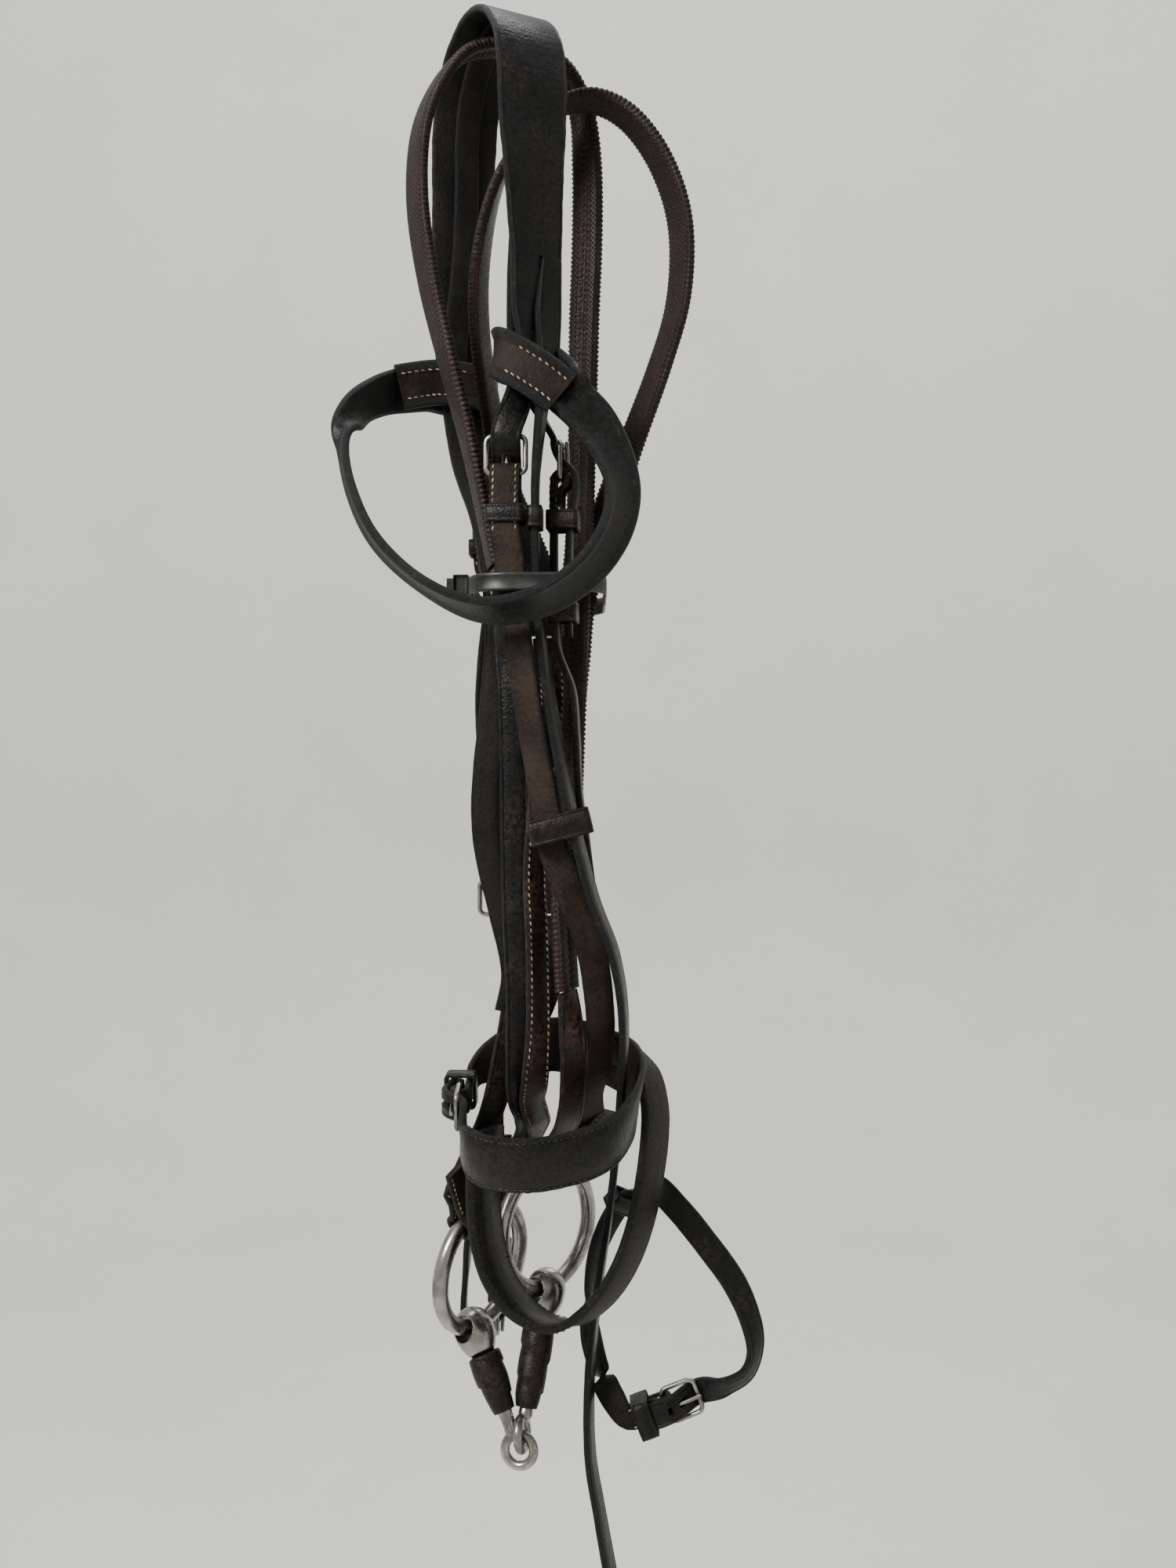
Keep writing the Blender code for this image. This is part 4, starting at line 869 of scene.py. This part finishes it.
def grip_section(width, run):
    """Section of a grip: saw-toothed edges, and gathers on each side of its sewn seam."""
    half, high = width / 2, 2.65
    tooth_pitch, tooth_reach, gather_pitch = 2.4, 1.15, 3.3
    tooth = tooth_reach * (1 - abs(((run / tooth_pitch) % 1.0) * 2 - 1))
    gather = 0.5 + 0.5 * math.cos(run / gather_pitch * 2 * math.pi)
    left = [(-half + 0.1 - tooth, 0.0, 0.9, 0.5),
            (-half + 0.35 - tooth * 0.9, high * 0.55, 0.8, 0.3),
            (-half + 1.2, high - 0.25, 0.35, 0.0), (-half + 2.2, high - 0.02, 0.0, 0.0),
            (-3.6, high + 0.05, 0.0, 0.0), (-2.8, high - 0.15 + 0.30 * gather, 0.75, 0.0),
            (-1.7, high - 0.60 + 0.95 * gather, 1.0, 0.0),
            (-0.8, high - 0.80 + 0.85 * gather, 1.0, 0.0), (-0.3, high - 0.95, 1.0, 0.0)]
    over = left + [(-x, z, edge, back) for x, z, edge, back in reversed(left)]
    under = [(half - 0.35 + tooth * 0.9, -high * 0.55, 0.8, 0.7),
             (half - 1.2, 0.25 - high, 0.35, 1.0), (half - 2.2, -high, 0.0, 1.0),
             (2.4, -high - 0.05, 0.0, 1.0), (0.0, -high - 0.05, 0.0, 1.0)]
    under += [(-x, z, edge, back) for x, z, edge, back in reversed(under[:4])]
    return over + under


RUBBER = rubber()
GRIP_LEFT = [
    (0.8, -24.5, -264, -75), (-3.5, -24.5, -243, -75), (-11, -27, -207, -70),
    (-21, -29, -168, -64), (-30, -29, -130, -58), (-35.5, -27, -92, -56),
    (-34.5, -23, -58, -58), (-27, -17, -33, -60), (-15, -8.5, -13.5, -62),
    (1, 0.5, -5.6, -64), (18, 9, -4.5, -64), (32, 17, -9, -60), (41.5, 23, -26, -52),
    (44.5, 26, -54, -34), (44.5, 26, -92, -30), (43, 25, -134, -32), (42, 22, -192, -40),
    (40.5, 17, -246, -40), (37.5, 13.5, -285, -20),
    (35, 6, -345, 2), (34, -6, -373, 12), (34.5, -18, -396, 28), (34, -29, -416, 42),
    (34, -32.5, -440, 58), (35.2, -32, -463, 58)]
GRIP_RIGHT = [
    (25, -15, -296, 12), (24, -14, -275, 15), (15, -13, -248, 35), (4, -11, -216, 55),
    (-5, -8.5, -168, 66), (-8, -8, -138, 68), (-7, -7, -112, 74), (-2, -5, -84, 86),
    (6, -2, -62, 102), (19, 1, -42, 118), (34, 5, -31, (-0.2, 0.95, -0.1)),
    (50, 7, -29, (-0.2, 0.95, -0.2)), (67, 7, -39, (-0.35, 0.9, -0.2)),
    (82, 5, -62, (-0.5, 0.85, -0.1)), (90.5, 3, -92, 124), (89.5, 2, -128, 126),
    (80, 3, -162, 128), (64, 12, -204, 136), (51, 26, -240, 152), (41, 30, -272, 170),
    (37.5, 28, -305, 180), (33, 20, -350, 188), (30, 16, -400, 188), (29, 14, -432, 188)]
RED_THREAD = thread_finish("rein_thread", (0.115, 0.075, 0.058), (0.040, 0.024, 0.020))
for label, route in (("rein_grip_left", GRIP_LEFT), ("rein_grip_right", GRIP_RIGHT)):
    grip = new_work()
    laid_grip = lay(route, 16, 0.55)
    sweep(grip, laid_grip, grip_section)
    finish_piece(f"{label}_rubber", grip, RUBBER, "straps", [label])
    grip_seams = new_work()
    sew(grip_seams, laid_grip, 4, laid_grip[-1][4] - 4, 0.0, 1.85, 3.3, 0, (1.2, 0.30, 0.26))
    finish_piece(f"{label}_stitches", grip_seams, RED_THREAD, "straps", [])


# --- Bit --------------------------------------------------------------------------------
# Loose-ring snaffle with one joint: polished steel rings and bosses, and tapered arms
# wrapped in brown leather.

def steel(name, rust):
    """Polished stainless steel: fine scratches, smears and a little rust in scattered spots."""
    made, tree, shader = paint(name)
    where = add(tree, "ShaderNodeTexCoord").outputs["Object"]
    smear = noise(tree, where, 90.0, 4.0)
    stretched = add(tree, "ShaderNodeMapping", [("Vector", where), ("Scale", (400, 2600, 900))])
    scratch = noise(tree, stretched.outputs[0], 1.0, 2.0)
    spots = noise(tree, where, 330.0, 5.0, 0.7)
    tint = times(tree, level(tree, spots, 0.56, 0.70), level(tree, smear, 0.45, 0.62, 0.0, rust))
    clean = mixed(tree, level(tree, smear, 0.35, 0.65), (0.16, 0.155, 0.15), (0.40, 0.39, 0.37))
    tree.links.new(mixed(tree, tint, clean, (0.17, 0.072, 0.032)), shader.inputs["Base Color"])
    shader.inputs["Metallic"].default_value = 1.0
    rough = plus(tree, level(tree, smear, 0.3, 0.7, 0.36, 0.20), times(tree, tint, 0.4))
    tree.links.new(rough, shader.inputs["Roughness"])
    tree.links.new(bumped(tree, scratch, 0.00003), shader.inputs["Normal"])
    return made


def axes_from(origin, z_axis, x_hint):
    """Frame at origin with local Z along z_axis and local X near x_hint."""
    z = Vector(z_axis).normalized()
    x = Vector(x_hint)
    x = (x - x.dot(z) * z).normalized()
    return Matrix.Translation(Vector(origin)) @ Matrix((x, z.cross(x), z)).transposed().to_4x4()


def spun(work, profile, place, steps=48):
    """Turn a profile of (radius, height) in mm about the local Z axis of a place."""
    spots = [work.verts.new((r, 0, z)) for r, z in profile]
    edges = [work.edges.new(pair) for pair in zip(spots, spots[1:])]
    bmesh.ops.spin(work, geom=spots + edges, axis=(0, 0, 1), cent=(0, 0, 0), steps=steps,
                   angle=2 * math.pi, use_merge=True)
    verts = list({v for v in spots if v.is_valid}
                 | {v for f in work.faces for v in f.verts if not f.tag})
    for face in work.faces:
        face.tag = True
    bmesh.ops.remove_doubles(work, verts=verts, dist=1e-4)
    verts = [v for v in verts if v.is_valid]
    bmesh.ops.transform(work, matrix=Matrix.Scale(MM, 4) @ place, verts=verts)
    return verts


def round_profile(radius, rod, sides=20):
    """Closed circle of (radius, height) for a ring's rod."""
    angles = [2 * math.pi * i / sides for i in range(sides + 1)]
    return [(radius + rod * math.cos(angle), rod * math.sin(angle)) for angle in angles]


STEEL = steel("bit_steel", 1.0)
for label, ring_at in (("left", LEFT_RING), ("right", RIGHT_RING)):
    ring = new_work()
    centre, up, side, normal = ring_at
    spun(ring, round_profile(RING_RADIUS, RING_ROD), axes_from(centre, normal, side), 96)
    finish_piece(f"bit_ring_{label}_steel", ring, STEEL, f"ring_{label}", [f"bit_ring_{label}"])


WRAP = leather("bit_sleeve_leather", (0.0150, 0.0100, 0.0082), (0.040, 0.025, 0.018),
               (0.020, 0.013, 0.010), 0.42, 0.5)
for label, boss, ring_at, loop_normal, gap in (
        ("left", LEFT_BOSS, LEFT_RING, (-0.25, -1.0, 0.1), 0.0),
        ("right", RIGHT_BOSS, RIGHT_RING, (1.0, -0.25, 0.1), 7.6)):
    body = "arm_left" if label == "left" else "straps"
    along = BIT_JOINT - boss
    length = along.length - gap
    _, up, side, _ = ring_at
    place = axes_from(boss, along, -side)
    arm = new_work()
    spun(arm, smooth_line([
        (0.0, length - 5.2), (3.5, length - 8.0), (3.3, length - 14.0), (4.0, length - 22.0),
        (4.9, 36.0), (5.2, 24.0), (5.6, 15.0), (7.4, 12.5), (9.4, 8.0), (10.2, 3.0),
        (9.8, -1.5), (7.6, -6.0), (4.0, -8.6), (0.0, -9.5)], 5), place)
    eye_at = axes_from(boss + along.normalized() * length, loop_normal, along)
    spun(arm, round_profile(7.4, 2.4, 16), eye_at, 48)
    made = finish_piece(f"bit_arm_{label}_steel", arm, STEEL, body, [f"bit_arm_{label}"])
    bore = new_work()
    spun(bore, [(0, -20), (6.3, -20), (6.3, 20), (0, 20)], axes_from(boss, side, along), 40)
    bore_mesh = bpy.data.meshes.new("bore")
    bmesh.ops.recalc_face_normals(bore, faces=bore.faces)
    bore.to_mesh(bore_mesh)
    bore.free()
    drill = bpy.data.objects.new("drill", bore_mesh)
    bpy.context.scene.collection.objects.link(drill)
    cut = made.modifiers.new("bore", "BOOLEAN")
    cut.operation = "DIFFERENCE"
    cut.solver = "EXACT"
    cut.object = drill
    bpy.context.view_layer.update()
    bored = made.evaluated_get(bpy.context.evaluated_depsgraph_get())
    drilled = bpy.data.meshes.new_from_object(bored)
    made.modifiers.clear()
    made.data = drilled
    bpy.data.objects.remove(drill)

    wrap = new_work()
    end = along.length - 20.0
    verts = spun(wrap, smooth_line([
        (4.9, end), (5.6, end - 0.2), (7.3, end - 9.0), (8.5, 26.0), (8.8, 17.0), (8.4, 14.8),
        (6.2, 14.8), (5.9, 20.0), (5.5, 36.0), (4.9, end)], 10), place, 64)
    local = (Matrix.Scale(MM, 4) @ place).inverted()
    for vert in verts:
        at = local @ vert.co
        turn = math.atan2(at.y, at.x) / (2 * math.pi) + at.z / 15.0
        lap = turn % 1.0
        outer = 1.0 if math.hypot(at.x, at.y) > 5.4 + (end - at.z) * 0.02 else 0.0
        rise = 1 - 0.12 * outer * (1 - lap) ** 2
        vert.co = local.inverted() @ Vector((at.x * rise, at.y * rise, at.z))
    finish_piece(f"bit_sleeve_{label}_leather", wrap, WRAP, body, [f"bit_sleeve_{label}"])


# --- Buckles ----------------------------------------------------------------------------
# Seven square wire buckles of bright steel, the tongue of each curled round its heel bar.

def bent_rod(work, points, radius_at, closed=False, sides=14):
    """A rod of `radius_at(share)` mm bent along points in mm."""
    fine = points if closed else smooth_line(points, 8)
    fine = [Vector(p) for p in fine]
    count = len(fine)
    reference = None
    laid = []
    for index, point in enumerate(fine):
        ahead = fine[(index + 1) % count] if closed else fine[min(index + 1, count - 1)]
        behind = fine[index - 1] if closed else fine[max(index - 1, 0)]
        along = (ahead - behind).normalized()
        if reference is None:
            reference = along.orthogonal().normalized()
        reference = (reference - reference.dot(along) * along).normalized()
        laid.append((point, reference, along.cross(reference), radius_at(index / count), index))
    if closed:
        laid.append(laid[0])

    angles = [2 * math.pi * i / sides for i in range(sides)]
    sweep(work, laid, lambda radius, run: [
        (radius * math.cos(angle), radius * math.sin(angle), 0.0, 0.0) for angle in angles], closed)


def rounded_frame(half_x, half_y, corner, turns=8):
    """Corner-rounded rectangle in a plane, in mm, with points along its straight sides."""
    line = []
    for quarter in range(4):
        sign_x = 1 if quarter in (0, 3) else -1
        sign_y = 1 if quarter in (0, 1) else -1
        for step in range(turns + 1):
            angle = math.pi / 2 * (quarter + step / turns)
            line.append(Vector((sign_x * (half_x - corner) + corner * math.cos(angle),
                                sign_y * (half_y - corner) + corner * math.sin(angle), 0.0)))
    return line


BUCKLE_STEEL = steel("buckle_steel", 0.6)
FRAME_HALF = 8.5   # half a buckle's length, heel bar to front bar, mm
for label, place, width, body in (
        ("cheek_right", NEAR_BUCKLE, 14, "straps"), ("sliphead", SLIP_BUCKLE, 13, "straps"),
        ("cheek_left", FAR_BUCKLE, 14, "straps"),
        ("throatlash", THROAT_BUCKLE, 13, "throatlash_buckle"),
        ("noseband_jaw", JAW_BUCKLE, 13, "straps"), ("flash", FLASH_BUCKLE, 13, "straps"),
        ("rein", REIN_BUCKLE, 14, "straps")):
    frame_work = new_work()
    outline = rounded_frame(width / 2 + 2.2, FRAME_HALF, 3.0)
    outline = [place @ (p + Vector((0, FRAME_HALF, 0))) for p in outline]
    bent_rod(frame_work, outline, lambda share: WIRE, closed=True)
    finish_piece(f"{label}_buckle_steel", frame_work, BUCKLE_STEEL, body, [f"{label}_buckle"])
    tongue = new_work()
    points = [(0, -1.2, 1.0), (0, -0.4, 2.3), (0, 1.8, 2.65), (0, 5.0, 3.05), (0, 11.0, 2.85),
              (0, 16.6, 2.5), (0, 18.6, 2.4)]
    bent_rod(tongue, [place @ Vector(p) for p in points],
             lambda share: 1.0 if share < 0.9 else 1.0 - 0.5 * (share - 0.9) / 0.1)
    finish_piece(f"{label}_tongue_steel", tongue, BUCKLE_STEEL, f"{label}_tongue",
                 [f"{label}_tongue"])


# --- Keepers ----------------------------------------------------------------------------
# Leather loops that hold the strap ends down; the seam of each is at its back.

def round_band(path, place, width, pace):
    """Where a band closed round the straps lies, along a path across a place."""
    turn = place.to_3x3()
    laid = []
    for index, spot in enumerate(path):
        way = (path[(index + 1) % len(path)] - path[index - 1]).normalized()
        laid.append((place @ Vector((spot.x, 0, spot.y)), turn @ Vector((0, 1, 0)),
                     turn @ Vector((way.y, 0, -way.x)), width, index * pace))
    laid.append(laid[0])
    return laid


def loop_band(work, place, half_x, half_z, length, wall):
    """A leather loop closed round the straps; the sizes are its inside, in mm."""
    path = rounded_frame(half_x + wall / 2, half_z + wall / 2, 1.0 + wall / 2, 6)

    def section(width, run):
        half, high = width / 2, wall / 2
        r = high * 0.7
        dip = wall * 0.16
        upper = [(-half, 0, 1.0, 0.5), (-half + 0.3 * r, high - r * 0.4, 0.9, 0.2),
                 (-half + r, high, 0.4, 0.0), (-half + 1.1, high, 0.0, 0.0),
                 (-half + 1.5, high - dip, 0.3, 0.0), (-half + 1.9, high, 0.0, 0.0)]
        over = upper + [(-x, z, e, b) for x, z, e, b in reversed(upper)]
        return over + [(half - r, -high, 0.3, 1.0), (r - half, -high, 0.3, 1.0)]
    sweep(work, round_band(path, place, length, 2.0), section, closed=True)


# Name, place, half width and half height inside, length, wall, body, finish and slot.
KEEPERS = (
    ("cheek_right_fixed_keeper", placed((7.2, -42.0, -243), DOWN, (0.1, 1, 0)),
     7.7, 6.6, 8, 1.2, "straps", BLACK, "black_leather"),
    ("cheek_right_lower_keeper", placed((32.3, -45.4, -386.5), (0.25, 0, -1), (0, 1, 0)),
     13.0, 7.6, 12, 1.6, "cheek_right_lower_keeper", BROWN, "brown_leather"),
    ("throatlash_keeper", placed((20.6, -39.5, -244), DOWN, (1, -0.03, 0)),
     7.1, 2.3, 10, 1.2, "throatlash_keeper", BLACK, "black_leather"),
    ("sliphead_fixed_keeper", placed((33.3, -26, -243), DOWN, (1, -0.09, 0)),
     7.2, 6.4, 9, 1.3, "straps", DARK_BROWN, "brown_leather"),
    ("sliphead_sliding_keeper", placed((33.2, -26.6, -286), (0.02, 0, -1), (1, -0.09, 0)),
     7.6, 5.6, 10, 1.4, "sliphead_sliding_keeper", DARK_BROWN, "brown_leather"),
    ("cheek_left_fixed_keeper", placed((-7.3, 40.9, -245), DOWN, (0, 1, 0)),
     7.8, 6.6, 8, 1.5, "straps", BLACK, "black_leather"),
    ("noseband_jaw_keeper", placed((-18, 8.6, -518.8), (0.05, 1, 0.14), (-1, 0.05, 0)),
     7.4, 6.4, 9, 1.5, "noseband_jaw_keeper", NOSE, "black_leather"),
    ("flash_keeper", placed((73.2, 12.3, -682.2), (-0.93, 0.03, -0.36), (0.1, -1, 0)),
     8.0, 6.9, 9, 1.5, "flash_keeper", BLACK, "black_leather"),
    ("rein_keeper", placed((-2.9, 60, -615.2), UP, (1, 0, 0)),
     7.9, 5.6, 8.6, 1.4, "rein_keeper", REIN, "rein_leather"),
    ("flash_tab", placed((63, 28, -580), (25, -10, 30),
                         Vector((0.6, 0.5, -0.5)).cross(Vector((25, -10, 30)))),
     7.8, 3.2, 10, 1.4, "straps", NOSE, "black_leather"),
)
for name, place, half_x, half_z, length, wall, body, tone, slot in KEEPERS:
    keeper = new_work()
    loop_band(keeper, place, half_x, half_z, length, wall)
    finish_piece(f"{name}_leather", keeper, tone, body, [name])


# --- Cable tie --------------------------------------------------------------------------
# Black nylon tie pulled round the whole bundle, its square head and cut tail on the left.

def nylon():
    """Glossy black nylon, faintly moulded and dusty."""
    made, tree, shader = paint("black_nylon")
    where = add(tree, "ShaderNodeTexCoord").outputs["Object"]
    dust = noise(tree, where, 240.0, 5.0, 0.65)
    swirl = noise(tree, where, 60.0, 2.0)
    tree.links.new(mixed(tree, level(tree, dust, 0.5, 0.8, 0.0, 0.5), (0.0085, 0.009, 0.0095),
                         (0.040, 0.040, 0.038)), shader.inputs["Base Color"])
    tree.links.new(level(tree, plus(tree, dust, swirl), 0.8, 1.3, 0.34, 0.58),
                   shader.inputs["Roughness"])
    tree.links.new(bumped(tree, swirl, 0.0003), shader.inputs["Normal"])
    return made


NYLON = nylon()
tie_at = placed((21.5, -2, -275), DOWN, (0, 1, 0))
tie = new_work()
path = rounded_frame(31.65, 50.65, 18.65, 22)
long_path = []
for here, there in zip(path, path[1:] + path[:1]):
    pieces = max(1, round((there - here).length / 0.8))
    long_path += [here.lerp(there, i / pieces) for i in range(pieces)]
laid_tie = round_band(long_path, tie_at, 8.5, 1)


def tie_section(width, run):
    """Flat band with rounded edges and a row of moulded teeth down its middle."""
    half = width / 2
    tooth = 0.22 if run % 2 else -0.06
    over = [(-half, 0, 0, 0), (-half + 0.25, 0.5, 0, 0), (-half + 0.8, 0.65, 0, 0),
            (-half + 1.6, 0.62, 0, 0), (-half + 1.9, 0.4 + tooth, 0, 0)]
    over += [(-x, z, e, b) for x, z, e, b in reversed(over)]
    return over + [(half - 0.4, -0.62, 0, 0), (0.4 - half, -0.62, 0, 0)]


sweep(tie, laid_tie, tie_section, closed=True)
finish_piece("cable_tie_band_nylon", tie, NYLON, "straps", ["cable_tie_band"])

lock = new_work()
lock_verts = bmesh.ops.create_cube(lock, size=1.0)["verts"]
low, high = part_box("cable_tie_head")
size = Vector(high) - Vector(low)
middle = (Vector(high) + Vector(low)) / 2
for vert in lock_verts:
    vert.co = Vector((vert.co.x * size.x, vert.co.y * size.y, vert.co.z * size.z)) + middle
front = [f for f in lock.faces if abs(f.normal.y) > 0.9]
bmesh.ops.inset_individual(lock, faces=front, thickness=0.0017)
for face in front:
    inward = 0.0022 if face.normal.y < 0 else -0.0022
    bmesh.ops.translate(lock, verts=face.verts, vec=(0, inward, 0))
hard = [e for e in lock.edges if e.is_manifold and e.calc_face_angle(0) > 0.6]
bmesh.ops.bevel(lock, geom=hard, offset=0.0005, segments=3, profile=0.5, affect="EDGES",
                material=-1)
tail = bmesh.ops.create_cube(lock, size=1.0)["verts"]
for vert in tail:
    wave = 0.0004 * math.sin(vert.co.z * 6)
    vert.co = Vector((low[0] - 0.0010 + vert.co.x * 0.0050 + wave,
                      middle.y + vert.co.y * 0.0014, middle.z + 0.001 + vert.co.z * 0.0078))
finish_piece("cable_tie_head_nylon", lock, NYLON, "straps", ["cable_tie_head"],
             smooth=False)
